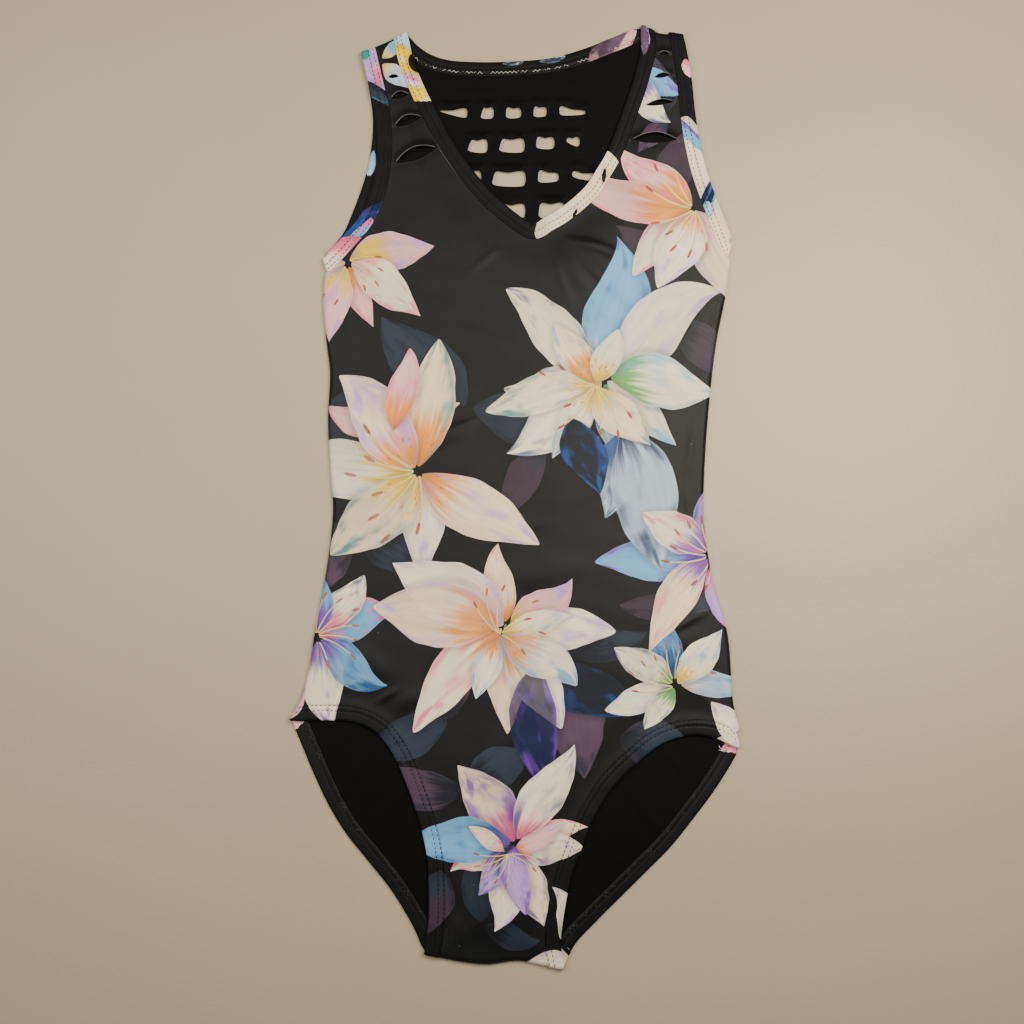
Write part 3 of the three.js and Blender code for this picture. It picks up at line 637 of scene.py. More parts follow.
def bloom_petals(row, palette_name):
    """Petals fanned round a heart, every other one a layer higher."""
    draws = random.Random(row["seed"])
    palette = {key: names.split() for key, names in PALETTES[palette_name].items()}
    ghost = palette_name == "ghost"
    full = row["spread"] == 360
    step = row["spread"] / (row["count"] if full else row["count"] - 1)
    first = row["turn"] - (0 if full else row["spread"] / 2)
    petals = []
    for k in range(row["count"]):
        angle = first + step * k + draws.uniform(-0.28, 0.28) * step
        lean = math.cos(math.radians(angle - row["turn"]))
        length = row["length"] * PETAL_SCALE * (1 + row["squash"] * lean) * draws.uniform(0.68, 1.16)
        x, y = placed_at(row["x"], row["y"], draws.uniform(1, 4), 0, angle)
        petals.append(dict(
            x=x, y=y, angle=angle, length=length,
            width=length * draws.uniform(0.38, 0.58) * (1.15 if ghost else 1),
            bend=length * draws.choice((-1, 1)) * draws.uniform(0.06, 0.32), curl=draws.uniform(-0.2, 1.3),
            layer=0 if ghost else row["layer"] + k % 2,
            inner=draws.choice(palette["inner"]), outer=draws.choice(palette["outer"]),
            wash=draws.choice(palette["wash"]),
            opacity=draws.uniform(0.65, 1.0) if ghost else draws.choice((1.0, 1.0, 0.86)),
            tip=draws.uniform(0.6, 1.0), skew=0.0, seed=draws.uniform(0, 50)))
    return petals


def petal_profile(u, tip):
    """A petal's half width along its length, 1 at its widest, from round-tipped to pointed."""
    u = np.clip(u, 0, 1)
    rounded = ROUNDED_SCALE * u ** 0.75 * (1 - u) ** 0.55
    pointed = POINTED_SCALE * u ** 0.9 * (1 - u) ** 1.25
    return rounded * (1 - tip) + pointed * tip


def petal_curve(petal, u):
    """How far a petal's middle line swings aside along its length: one bend, or two the other way about."""
    return petal["bend"] * (u * u - petal["curl"] * u ** 5)


def petal_layer(x, y, petals):
    """One layer's place within its nearest petal, and that petal's colours with the depth inside its edge."""
    best = np.full(len(x), -1e9)
    place = np.tile([-1.0, 0.0, 0.0, -1.0], (len(x), 1))
    colours = {key: np.zeros((len(x), 4)) for key in ("inner", "outer", "wash")}
    for petal in petals:
        along, aside = rotated(x - petal["x"], y - petal["y"], petal["angle"])
        u = (along + petal["skew"] * aside) / petal["length"]
        v = (aside - petal_curve(petal, np.clip(u, 0, 1))) / (petal["width"] / 2)
        beyond = np.maximum(np.maximum(-u, u - 1), 0) * petal["length"]
        edge = petal_profile(u, petal["tip"]) - np.abs(v)
        depth = edge * petal["width"] / 2 - beyond
        wins = depth > best
        best[wins] = depth[wins]
        place[wins] = np.column_stack([u, v, np.full(len(x), petal["seed"]), edge])[wins]
        for key, extra in (("inner", "opacity"), ("outer", "opacity"), ("wash", "tip")):
            colours[key][wins] = [*linear(COLOURS[petal[key]]), petal[extra]]
    colours["outer"][:, 3] = np.clip(best / DEPTH_RANGE, -1, 1) * 0.5 + 0.5
    return {"place": place, **colours}


def heart_places(x, y, hearts):
    """Each point's place round its blossom's heart, in petal lengths, or far off where it has none."""
    heart = np.full((len(x), 3), NO_HEART)
    for row in hearts:
        if row["heart"]:
            dx, dy = (x - row["x"]) / row["length"], (y - row["y"]) / row["length"]
            near = np.hypot(dx, dy) < HEART_REACH
            local = np.column_stack([*rotated(dx, dy, row["turn"]), np.full(len(x), row["seed"])])
            heart[near] = local[near]
    return heart


def petal_fields(x, y, petals, hearts):
    """The vertex fields that the print's shader reads."""
    fields = {}
    for layer in range(LAYER_COUNT):
        found = petal_layer(x, y, [petal for petal in petals if petal["layer"] == layer])
        for key, values in found.items():
            fields[f"petal_{layer}_{key}"] = values
    fields["heart_place"] = heart_places(x, y, hearts)
    return fields


def petal_discs(petal):
    """Round spots along a petal's outer part that together cover it: places and half widths."""
    u = np.linspace(0.3, 1, 10)
    along, aside = u * petal["length"], petal_curve(petal, u)
    x, y = placed_at(petal["x"], petal["y"], along, aside, petal["angle"])
    return x, y, petal_profile(u, petal["tip"]) * petal["width"] / 2


def spread_layers(petals, layers):
    """Gives each petal the first layer, from its own on, where it meets no other, or else leaves it out."""
    taken = {layer: [] for layer in layers}
    kept = []
    for petal in petals:
        x, y, half = petal_discs(petal)
        first = layers.index(petal["layer"])
        for layer in layers[first:] + layers[:first]:
            gaps = [(np.hypot(x[:, None] - a, y[:, None] - b) - half[:, None] - c).min()
                    for a, b, c in taken[layer]]
            if min(gaps, default=1) > 0:
                taken[layer].append((x, y, half))
                kept.append({**petal, "layer": layer})
                break
    return kept


ALL_PETALS = [petal for row in BLOOMS for petal in bloom_petals(row, row["palette"])]
ALL_PETALS += [petal for row in GHOSTS for petal in bloom_petals(row, "ghost")]
FRONT_PETALS = spread_layers([p for p in ALL_PETALS if p["layer"] < GHOST_LAYERS], list(range(GHOST_LAYERS)))
FRONT_PETALS += spread_layers([p for p in ALL_PETALS if p["layer"] >= GHOST_LAYERS],
                              list(range(GHOST_LAYERS, LAYER_COUNT)))

# Stretches of colour along the bindings: each crosses the strip, with ends cut on a slant
PATCHES = table("strip face start end aside skew width layer inner outer wash", [
    ("neck_binding", "front", -14, 9, 0, 0.4, 60, 0, "lilac", "mist", "ivory"),
    ("neck_binding", "front", 5, 31, 1, 0.5, 30, 1, "yellow", "yellow", "ivory"),
    ("neck_binding", "front", 13, 27, -4.6, 0.3, 8, 3, "black", "black", "black"),
    ("neck_binding", "front", 25, 46, 0, 0.5, 60, 2, "blush", "yellow", "ivory"),
    ("neck_binding", "front", 28, 36, 0, 0.8, 10, 4, "pink", "ivory", "lilac"),
    ("neck_binding", "front", 160, 233, 0, 0.35, 60, 0, "ivory", "cream", "ivory"),
    ("neck_binding", "front", 186, 190, 3.6, 1.2, 4, 2, "black", "black", "black"),
    ("neck_binding", "front", 215, 221, 1.4, 1.5, 5, 2, "black", "black", "black"),
    ("neck_binding", "front", 303, 326, -2.4, 0, 7, 0, "mauve", "mauve", "lilac"),
    ("neck_binding", "back", 130, 163, -1, 0.9, 60, 0, "plum", "mauve", "blush"),
    ("neck_binding", "back", 72, 86, -3.6, 0.4, 4, 1, "slate", "slate", "mist"),
    ("neck_binding", "back", 96, 114, -3.4, 0.4, 5, 1, "slate", "slate", "mist"),
    ("arm_binding_left", "front", -14, 31, 0, -0.6, 60, 0, "lilac", "lilac", "ivory"),
    ("arm_binding_left", "front", -6, 5, -2.8, 0, 7, 2, "green", "teal", "green"),
    ("arm_binding_left", "front", 6, 26, 2.4, 0, 6, 1, "blush", "pink", "lilac"),
    ("arm_binding_left", "front", 22, 34, -1, -0.9, 40, 3, "night", "slate", "teal"),
    ("arm_binding_left", "front", 104, 134, 0, 1.1, 60, 0, "navy", "blue", "violet"),
    ("arm_binding_left", "front", 112, 130, 2, 1.4, 7, 1, "pink", "sky", "pink"),
    ("arm_binding_left", "front", 128, 172, 0, 0.9, 60, 2, "pink", "ivory", "blush"),
    ("arm_binding_left", "back", 66, 84, -3, 0, 6, 0, "sky", "mist", "sky"),
    ("arm_binding_right", "front", 17, 29, -3.2, 0.5, 8, 0, "pink", "blush", "blush"),
    ("arm_binding_right", "front", 55, 170, 0, 0.7, 60, 0, "ivory", "cream", "blush"),
    ("arm_binding_right", "front", 62, 74, 0, 1.3, 50, 1, "violet", "sky", "blue"),
    ("arm_binding_right", "front", 104, 116, 0, -1.0, 50, 1, "navy", "navy", "sky"),
    ("arm_binding_right", "front", 112, 122, 3, -0.4, 9, 2, "sky", "mist", "violet"),
    ("leg_hem_left", "back", -8, 7, 0, 0.3, 60, 0, "ivory", "cream", "blush"),
    ("leg_hem_right", "back", -8, 8, 0, -0.5, 60, 0, "blush", "ivory", "pink"),
    ("leg_hem_right", "back", 163, 190, 1, 0.2, 60, 0, "cream", "ivory", "cream"),
])


def patch_petals(name, face):
    """The colour stretches of one strand, as petals in its own run and width."""
    petals = []
    for index, row in enumerate(PATCHES):
        if row["strip"] == name and row["face"] == face:
            plain = dict(angle=0, bend=0, curl=0, opacity=1.0, tip=0.0, seed=3.7 * index)
            reach = dict(x=row["start"], y=row["aside"], length=row["end"] - row["start"])
            petals.append({**row, **plain, **reach})
    return petals


# Stitch rows: distance from a strip's middle towards the body
LOOPER_EDGES = {**{name: (3.3, 1.9) for name in BINDINGS}, **{name: (3.6, 1.4) for name in HEMS}}
STITCH_ROWS = {**{name: (3.1, -0.1) for name in BINDINGS}, **{name: (4.2, 1.0) for name in HEMS}}

# Loose thread ends at the corners of the legs: start, heading in degrees, length and bend in radians
TAILS = table("x y z turn length bend", [
    (126.6, -165.6, 2.1, 205, 3.6, -1.9),
    (126.0, -167.4, 2.1, 150, 2.4, 0.5),
    (127.4, -169.0, 1.9, 120, 2.6, 0.9),
    (30.8, -283.2, 2.0, -25, 3.6, -0.8),
    (-130.6, -151.4, 2.0, 20, 1.6, 0.6),
])
TAIL_RADIUS = 0.00024
TAIL_STEPS = 9


def tail_line(row):
    """One loose thread end that rises from the cloth and curls down on it."""
    u = np.linspace(0, 1, TAIL_STEPS)
    heading = math.radians(row["turn"]) + row["bend"] * u
    strides = np.column_stack([np.cos(heading), np.sin(heading)]) * row["length"] / TAIL_STEPS
    place = np.cumsum(strides, axis=0) + (row["x"], row["y"])
    return np.column_stack([place, row["z"] - 0.1 + 0.7 * np.sin(0.8 * math.pi * u)])


def section_profile(name):
    """Distances across a strip and its face's height: a pillow with a groove at each stitch row."""
    aside = np.array(SECTION_ASIDE)
    rim = (1 - (np.abs(aside) / (STRIP_WIDTH / 2)) ** 7) ** 0.5
    height = STRIP_THICKNESS / 2 * np.maximum(rim, 0)
    for row in STITCH_ROWS[name]:
        height -= GROOVE_DEPTH * np.exp(-(((aside - row) / GROOVE_WIDTH) ** 2)) * rim
    return aside, height


def ring_frames(name):
    """Stations all round a strip: over the front, down a fold, along the back and up the other fold."""
    front, back = STRANDS[name]["front"], STRANDS[name]["back"]
    first, last = (turn_frame(turn) for turn in STRIPS[name]["turns"])
    centre_height = STRIP_BACK_MIDDLE + STRIP_TURN

    def flat(line, height, up):
        count = len(line["place"])
        return dict(place=np.column_stack([line["place"], np.full(count, height)]),
                    across=np.column_stack([line["across"], np.zeros(count)]),
                    out=np.tile([0, 0, up], (count, 1)), run=line["run"])

    def turned(turn, across, start_run, upwards):
        angle = np.linspace(0.5, -0.5, 9)[1:-1] * math.pi * (-1 if upwards else 1)
        out = np.column_stack([-turn["inward"] * np.cos(angle)[:, None], np.sin(angle)])
        middle = np.array([*turn["middle"], centre_height])
        arc = np.linspace(0, math.pi * STRIP_TURN, 9)[1:-1]
        return dict(place=middle + out * STRIP_TURN, across=np.tile([*across, 0], (len(out), 1)), out=out,
                    run=start_run + (arc if not upwards else -arc[::-1]))

    backwards = {key: values[::-1] for key, values in back.items()}
    parts = [flat(front, STRIP_FRONT_MIDDLE, 1), turned(last, front["across"][-1], front["run"][-1], False),
             flat(backwards, STRIP_BACK_MIDDLE, -1), turned(first, front["across"][0], 0, True)]
    sides = np.concatenate([np.full(len(part["run"]), i) for i, part in enumerate(parts)])
    joined = {key: np.concatenate([part[key] for part in parts]) for key in ("place", "across", "out", "run")}
    return joined, sides


def strip_mesh(name):
    """A strip's closed ring: points, faces, and each point's run, distance across, strand and face."""
    frames, sides = ring_frames(name)
    aside, height = section_profile(name)
    upper = np.column_stack([aside, height])
    lower = np.column_stack([aside[::-1], -height[::-1]])[:-1]
    section = np.vstack([upper, lower])
    count = len(section)
    points = frames["place"][:, None, :] + frames["across"][:, None, :] * section[None, :, :1]
    points = points + frames["out"][:, None, :] * section[None, :, 1:]
    wobble = 0.12 * np.sin(frames["run"] / 6.3) + 0.08 * np.sin(frames["run"] / 2.9 + 1)
    on_front = (sides == 0)[:, None]
    points[..., 2] += np.where(on_front, wobble[:, None] * 0.8, 0)
    points = points.reshape(-1, 3)
    index = np.arange(len(sides) * count).reshape(len(sides), count)
    following = np.roll(index, -1, axis=0)
    corners = [index, np.roll(index, -1, axis=1), np.roll(following, -1, axis=1), following]
    faces = np.stack(corners, -1).reshape(-1, 4)
    p, q, r, s = (points[faces[:, i]] for i in range(4))
    volume = np.einsum("ij,ij->i", p, np.cross(q, r) + np.cross(r, s)).sum()
    if volume < 0:
        faces = faces[:, ::-1]
    run = np.repeat(frames["run"], count)
    across = np.tile(section[:, 0], len(sides))
    strand_side = np.repeat(sides, count)
    face_side = np.tile(section[:, 1] >= 0, len(sides))
    return points, faces, run, across, strand_side, face_side


# Node groups
def new_tree(kind, name, inputs, outputs):
    """A node group. Each input is given by its kind, or by the number that it starts with."""
    tree = bpy.data.node_groups.new(name, kind)
    for socket, given in inputs.items():
        number = {int: "Int", float: "Float"}.get(type(given))
        made = tree.interface.new_socket(socket, in_out="INPUT", socket_type="NodeSocket" + (number or given))
        if number:
            made.default_value = given
    for socket, given in outputs.items():
        tree.interface.new_socket(socket, in_out="OUTPUT", socket_type="NodeSocket" + given)
    return tree


class Value:
    """A node's output, with arithmetic that adds a math node for each sign."""

    def __init__(self, wires, socket):
        self.wires = wires
        self.socket = socket

    def __add__(self, other):
        return self.wires.math("ADD", self, other)

    def __sub__(self, other):
        return self.wires.math("SUBTRACT", self, other)

    def __rsub__(self, other):
        return self.wires.math("SUBTRACT", other, self)

    def __mul__(self, other):
        return self.wires.math("MULTIPLY", self, other)

    def __truediv__(self, other):
        return self.wires.math("DIVIDE", self, other)

    def __rtruediv__(self, other):
        return self.wires.math("DIVIDE", other, self)

    def __pow__(self, other):
        return self.wires.math("POWER", self, other)

    def __abs__(self):
        return self.wires.math("ABSOLUTE", self)


class Wires:
    """Adds nodes to a tree and links them, with numbers, sockets or values as inputs."""

    def __init__(self, tree):
        self.tree = tree
        self.column = 0

    def node(self, kind, inputs=(), **settings):
        node = self.tree.nodes.new(kind)
        self.column += 1
        node.location = (180 * (self.column % 12), -220 * (self.column // 12))
        for key, value in settings.items():
            setattr(node, key, value)
        pairs = inputs.items() if isinstance(inputs, dict) else enumerate(inputs)
        for key, value in pairs:
            self.feed(node.inputs[key], value)
        return node

    def feed(self, socket, value):
        if isinstance(value, Value):
            self.tree.links.new(value.socket, socket)
        elif value is not None:
            socket.default_value = value

    def value(self, kind, inputs=(), output=0, **settings):
        return Value(self, self.node(kind, inputs, **settings).outputs[output])

    def values(self, kind, inputs=(), **settings):
        outputs = self.node(kind, inputs, **settings).outputs
        return {socket.name: Value(self, socket) for socket in outputs if socket.enabled}

    def math(self, operation, *values):
        return self.value("ShaderNodeMath", values, operation=operation)

    def mix(self, share, a, b, blend="MIX"):
        return self.value("ShaderNodeMix", {0: share, 6: a, 7: b}, 2, data_type="RGBA", blend_type=blend)

    def step(self, value, low, high, to_low=0.0, to_high=1.0):
        return self.value("ShaderNodeMapRange", [value, low, high, to_low, to_high],
                          interpolation_type="SMOOTHSTEP", clamp=False)

    def above(self, value, limit):
        return self.math("GREATER_THAN", value, limit)

    def noise(self, vector, scale, detail=2.0, rough=0.5):
        return self.value("ShaderNodeTexNoise", {
            "Vector": vector, "Scale": scale, "Detail": detail, "Roughness": rough})

    def chance(self, vector):
        return self.value("ShaderNodeTexWhiteNoise", {"Vector": vector}, "Value", noise_dimensions="3D")

    def xyz(self, x, y, z):
        return self.value("ShaderNodeCombineXYZ", [x, y, z])

    def split(self, vector):
        return self.values("ShaderNodeSeparateXYZ", [vector]).values()


def petal_group():
    """One layer of petals from each point's place in its petal."""
    group = new_tree("ShaderNodeTree", "Printed Petal", {
        "Place": "Vector", "Inner": "Color", "Outer": "Color", "Wash": "Color",
        "Opacity": 1.0, "Tip": 0.5, "Depth": 0.5, "Edge": 0.0},
        {"Color": "Color", "Mask": "Float", "Shadow": "Float"})
    w = Wires(group)
    given = w.values("NodeGroupInput")
    u, v, seed = w.split(given["Place"])
    seed_step = seed * 7.31
    chance = w.math("FRACT", seed * 1.618)
    # The outline, as in petal_profile, with a wavy edge
    start = w.math("MAXIMUM", u, 0.0001)
    left = w.math("MAXIMUM", 1.0 - u, 0.0001)
    rounded = start ** 0.75 * left ** 0.55
    pointed = start ** 0.9 * left ** 1.25
    rounded = rounded * ROUNDED_SCALE * (1.0 - given["Tip"])
    profile = rounded + pointed * POINTED_SCALE * given["Tip"]
    half = w.math("MAXIMUM", profile, 0.06)
    side = w.math("SIGN", v) * 1.7
    waves = w.noise(w.xyz(u * 3.4, side, seed_step), 1.2, 1.0)
    ripple_width = w.math("MINIMUM", profile * 1.6, 1.0) * 0.26
    rel = abs(v) + (waves - 0.3) * ripple_width
    within = w.step(profile - rel, 0.0, 0.03) * w.step(u, 0.0, 0.01)
    within = within * w.step(u, 1.0, 0.99)
    within = within * w.above(given["Depth"], 0.45)
    # Between two petals the place runs from one to the other, and only the depth tells what is covered
    drift = profile - abs(v) - given["Edge"]
    strayed = w.above(abs(drift), 0.14)
    deep = strayed * w.above(given["Depth"], 0.53)
    mask = w.math("MAXIMUM", deep, within * (1.0 - strayed))
    share = w.math("MAXIMUM", rel, 0.0) / half
    q = v / half
    # The throat's colour, then washes that pool, run along the edges and gather at the tip
    spread = w.noise(w.xyz(u * 2.0, q * 0.9, seed_step), 1.4, 2.5, 0.55)
    blotch = w.noise(w.xyz(u * 2.4, q, seed_step + 31.0), 1.3, 2.5, 0.55)
    streaks = w.noise(w.xyz(u * 1.5, q * 4.2, seed_step), 1.5, 2.0, 0.55)
    frayed = (streaks - 0.5) * 0.55
    throat_end = w.math("MULTIPLY_ADD", chance, 0.28, 0.28)
    throat = w.step(u + frayed, throat_end, throat_end - 0.26)
    tone = w.mix(throat * 0.9, given["Outer"], given["Inner"])
    tone = w.mix(w.step(blotch, 0.50, 0.68) * 0.34, tone, given["Wash"])
    washed = w.step(share + (spread - 0.5) * 2.6, 0.72, 1.30)
    tone = w.mix(washed * 0.78, tone, given["Wash"])
    tipped = w.step(u + (blotch - 0.5) * 2.4, 0.78, 1.28)
    tone = w.mix(tipped * 0.8, tone, given["Wash"])
    # Light and dark: the rib, streaks, one side, broad patches and the throat
    rib = w.step(abs(q), 0.07, 0.0) * w.step(u, 0.8, 0.2)
    light = 1.0 - rib * 0.14
    light = light * w.step(streaks, 0.3, 0.70, 0.94, 1.03)
    light = light * w.step(q, -1.0, 0.2, 0.88, 1.02)
    light = light * w.step(spread, 0.3, 0.7, 0.93, 1.03)
    light = light * w.step(u, 0.0, 0.22, 0.66, 1.0)
    shade = w.value("ShaderNodeCombineColor", [light, light, light])
    tone = w.mix(1.0, tone, shade, "MULTIPLY")
    tone = w.mix(w.step(share, 0.88, 0.97) * 0.35, tone, given["Outer"])
    tone = w.mix(strayed, tone, given["Outer"])
    out = w.node("NodeGroupOutput")
    w.feed(out.inputs["Color"], tone)
    w.feed(out.inputs["Mask"], mask * given["Opacity"])
    w.feed(out.inputs["Shadow"], w.step(given["Depth"], 0.10, 0.62) * given["Opacity"])
    return group


def heart_group():
    """Filaments and anthers that lean to one side of a blossom's middle, with freckles in its throat."""
    group = new_tree("ShaderNodeTree", "Blossom Heart", {"Place": "Vector", "Spokes": 17.0},
                     {"Color": "Color", "Mask": "Float", "Freckles": "Float"})
    w = Wires(group)
    given = w.values("NodeGroupInput")
    x, y, seed = w.split(given["Place"])
    radius = w.math("SQRT", x * x + y * y)
    turn = w.math("ARCTAN2", y, x) + radius * 0.55
    scaled = turn * (given["Spokes"] / math.tau)
    spoke = w.math("ROUND", scaled)
    off = (scaled - spoke) * (math.tau / given["Spokes"])
    aside = abs(w.math("SINE", off)) * radius
    chance = w.chance(w.xyz(spoke, seed, 0.0))
    reach = chance * 0.32 + 0.30
    leaning = w.math("LESS_THAN", abs(spoke), 4.5)
    shown = w.above(chance, 0.2) * leaning
    thread = w.step(aside, 0.011, 0.004) * w.step(radius, reach, reach - 0.01)
    ahead = (radius - reach) / 0.055
    beside = aside / 0.017
    anther = w.step(ahead * ahead + beside * beside, 1.0, 0.75)
    mask = w.math("MAXIMUM", thread, anther) * shown * w.math("LESS_THAN", radius, 0.72)
    colour = w.mix(anther, (0.80, 0.66, 0.24, 1), (0.40, 0.07, 0.03, 1))
    polar = w.xyz(radius * 9.0, turn * 6.0, seed)
    dots = w.value("ShaderNodeTexVoronoi", {"Vector": polar, "Scale": 1.0}, "Distance")
    ring = w.step(radius, 0.10, 0.18) * w.step(radius, 0.44, 0.24)
    out = w.node("NodeGroupOutput")
    w.feed(out.inputs["Color"], colour)
    w.feed(out.inputs["Mask"], mask)
    w.feed(out.inputs["Freckles"], w.step(dots, 0.26, 0.14) * ring)
    return group


def knit_group():
    """Fine knit ribs and a slight unevenness, as a height."""
    group = new_tree("ShaderNodeTree", "Fine Knit", {"Vector": "Vector", "Rib Spacing": 0.0005},
                     {"Height": "Float", "Variation": "Float"})
    w = Wires(group)
    given = w.values("NodeGroupInput")
    x, y, _ = w.split(given["Vector"])
    turns = math.tau / given["Rib Spacing"]
    ribs = w.math("SINE", x * turns)
    loops = w.math("SINE", y * (turns * 1.3))
    soft = w.noise(given["Vector"], 900.0, 2.0)
    height = (ribs + loops) * 0.25 + soft
    out = w.node("NodeGroupOutput")
    w.feed(out.inputs["Height"], height)
    w.feed(out.inputs["Variation"], w.noise(given["Vector"], 60.0, 3.0))
    return group


def lint_group():
    """Sparse pale specks of lint."""
    group = new_tree("ShaderNodeTree", "Lint", {"Vector": "Vector", "Scale": 130.0}, {"Mask": "Float"})
    w = Wires(group)
    given = w.values("NodeGroupInput")
    cells = w.values("ShaderNodeTexVoronoi", {"Vector": given["Vector"], "Scale": given["Scale"]})
    chance = w.chance(cells["Position"])
    speck = w.step(cells["Distance"], 0.05, 0.02) * w.above(chance, 0.93)
    out = w.node("NodeGroupOutput")
    w.feed(out.inputs["Mask"], speck)
    return group


def group_values(w, maker, name, inputs):
    """The outputs of a shader group, which is made at its first use."""
    return w.values("ShaderNodeGroup", inputs, node_tree=bpy.data.node_groups.get(name) or maker())


def new_surface(name):
    """An empty material and the wires for it."""
    made = bpy.data.materials.new(name)
    made.use_nodes = True
    made.node_tree.nodes.clear()
    return made, Wires(made.node_tree)


def finish_surface(w, values):
    shader = w.value("ShaderNodeBsdfPrincipled", values)
    out = w.node("ShaderNodeOutputMaterial")
    w.feed(out.inputs["Surface"], shader)


def print_layer(w, layer):
    """One layer of petals: its colour, mask and shadow."""
    given = {}
    for key, extra in (("Place", "Edge"), ("Inner", "Opacity"), ("Outer", "Depth"), ("Wash", "Tip")):
        source = w.values("ShaderNodeAttribute", attribute_name=f"petal_{layer}_{key.lower()}")
        given[key] = source["Vector" if key == "Place" else "Color"]
        given[extra] = source["Alpha"]
    return group_values(w, petal_group, "Printed Petal", given)


def printed_colour(w, colour):
    """The print's layers over the ground, then the freckles, filaments and anthers where petals lie."""
    covered = 0.0
    for layer in range(LAYER_COUNT):
        petal = print_layer(w, layer)
        colour = w.mix(petal["Shadow"] * 0.3, colour, (0, 0, 0, 1))
        colour = w.mix(petal["Mask"], colour, petal["Color"])
        if layer >= GHOST_LAYERS:
            covered = w.math("MAXIMUM", covered, petal["Mask"])
    place = w.value("ShaderNodeAttribute", (), "Vector", attribute_name="heart_place")
    heart = group_values(w, heart_group, "Blossom Heart", {"Place": place})
    colour = w.mix(heart["Freckles"] * covered * 0.75, colour, (0.60, 0.10, 0.03, 1))
    return w.mix(heart["Mask"] * covered, colour, heart["Color"])


def cloth_material(name, ground, rib_spacing, roughness, sheen, gloss, printed=True, rims=False):
    """Knit cloth in a ground colour, with the print and the pale raw rims where it has them."""
    made, w = new_surface(name)
    uv = w.value("ShaderNodeUVMap", uv_map="cloth_uv")
    knit = group_values(w, knit_group, "Fine Knit", {"Vector": uv, "Rib Spacing": rib_spacing})
    colour = w.mix(knit["Variation"], (*(c * 0.8 for c in ground), 1), (*ground, 1))
    if printed:
        colour = printed_colour(w, colour)
    if rims:
        raw = w.value("ShaderNodeAttribute", (), "Fac", attribute_name="raw_edge")
        colour = w.mix(raw, colour, (0.42, 0.40, 0.38, 1))
    lint = group_values(w, lint_group, "Lint", {"Vector": uv})
    colour = w.mix(lint["Mask"] * 0.5, colour, (0.35, 0.34, 0.33, 1))
    bump = w.value("ShaderNodeBump", {"Strength": 0.35, "Distance": 0.00012, "Height": knit["Height"]})
    finish_surface(w, {"Base Color": colour, "Roughness": roughness, "Specular IOR Level": gloss,
                       "Sheen Weight": sheen, "Sheen Roughness": 0.45, "Normal": bump})
    return made


def thread_material(name, dark, light, share):
    """Sewing thread with uneven tone."""
    made, w = new_surface(name)
    place = w.value("ShaderNodeTexCoord", (), "Object")
    tone = w.step(w.noise(place, 240.0, 2.0), share, share + 0.08)
    colour = w.mix(tone, (*dark, 1), (*light, 1))
    grain = w.noise(place, 5200.0)
    twist = w.value("ShaderNodeBump", {"Strength": 0.3, "Distance": 0.00008, "Height": grain})
    finish_surface(w, {"Base Color": colour, "Roughness": 0.6, "Specular IOR Level": 0.2, "Normal": twist})
    return made


def floor_material(name, colour):
    """A plain pale matt surface with a faint mottle."""
    made, w = new_surface(name)
    place = w.value("ShaderNodeTexCoord", (), "Object")
    mottle = w.noise(place, 14.0, 4.0)
    tone = w.mix(mottle, (*(c * 0.94 for c in colour), 1), (*colour, 1))
    grain = w.noise(place, 330.0, 2.0)
    bump = w.value("ShaderNodeBump", {"Strength": 0.22, "Distance": 0.0006, "Height": grain})
    finish_surface(w, {"Base Color": tone, "Roughness": 0.42, "Normal": bump})
    return made


# Stitching trees
def finish_growth(w, grown, material):
    """Makes what has grown real, smooth and painted, as the tree's output."""
    real = w.value("GeometryNodeRealizeInstances", [grown])
    smooth = w.value("GeometryNodeSetShadeSmooth", [real])
    painted = w.value("GeometryNodeSetMaterial", {"Geometry": smooth, "Material": material})
    out = w.node("NodeGroupOutput")
    w.feed(out.inputs[0], painted)


def stitch_tree():
    """Short thread grains, evenly spaced along every row."""
    tree = new_tree("GeometryNodeTree", "Stitch Row", {
        "Geometry": "Geometry", "Pitch": 0.0026, "Length": 0.0021, "Width": 0.0005, "Unevenness": 0.12,
        "Seed": 5, "Material": "Material"}, {"Geometry": "Geometry"})
    w = Wires(tree)
    given = w.values("NodeGroupInput")
    curve = w.value("GeometryNodeMeshToCurve", [given["Geometry"]])
    along = w.value("GeometryNodeResampleCurve", {"Curve": curve, "Length": given["Pitch"]}, mode="LENGTH")
    tangent = w.value("GeometryNodeInputTangent")
    aim = w.value("FunctionNodeAlignRotationToVector", {"Vector": tangent}, axis="X")
    grain = w.value("GeometryNodeMeshIcoSphere", {"Radius": 0.5, "Subdivisions": 1})
    uneven = w.node("FunctionNodeRandomValue", data_type="FLOAT")
    w.feed(uneven.inputs[2], 1.0 - given["Unevenness"])
    w.feed(uneven.inputs[3], given["Unevenness"] + 1.0)
    w.feed(uneven.inputs["Seed"], given["Seed"])
    size = w.xyz(given["Length"] * Value(w, uneven.outputs[1]), given["Width"], given["Width"] * 0.8)
    placed = w.value("GeometryNodeInstanceOnPoints", {
        "Points": along, "Instance": grain, "Rotation": aim, "Scale": size})
    finish_growth(w, placed, given["Material"])
    return tree


def looper_tree():
    """A continuous thread along every line."""
    tree = new_tree("GeometryNodeTree", "Looper Thread", {
        "Geometry": "Geometry", "Thread Radius": 0.0002, "Material": "Material"}, {"Geometry": "Geometry"})
    w = Wires(tree)
    given = w.values("NodeGroupInput")
    curve = w.value("GeometryNodeMeshToCurve", [given["Geometry"]])
    profile = w.value("GeometryNodeCurvePrimitiveCircle", {"Resolution": 5, "Radius": given["Thread Radius"]})
    tube = w.value("GeometryNodeCurveToMesh", {"Curve": curve, "Profile Curve": profile, "Fill Caps": True})
    finish_growth(w, tube, given["Material"])
    return tree


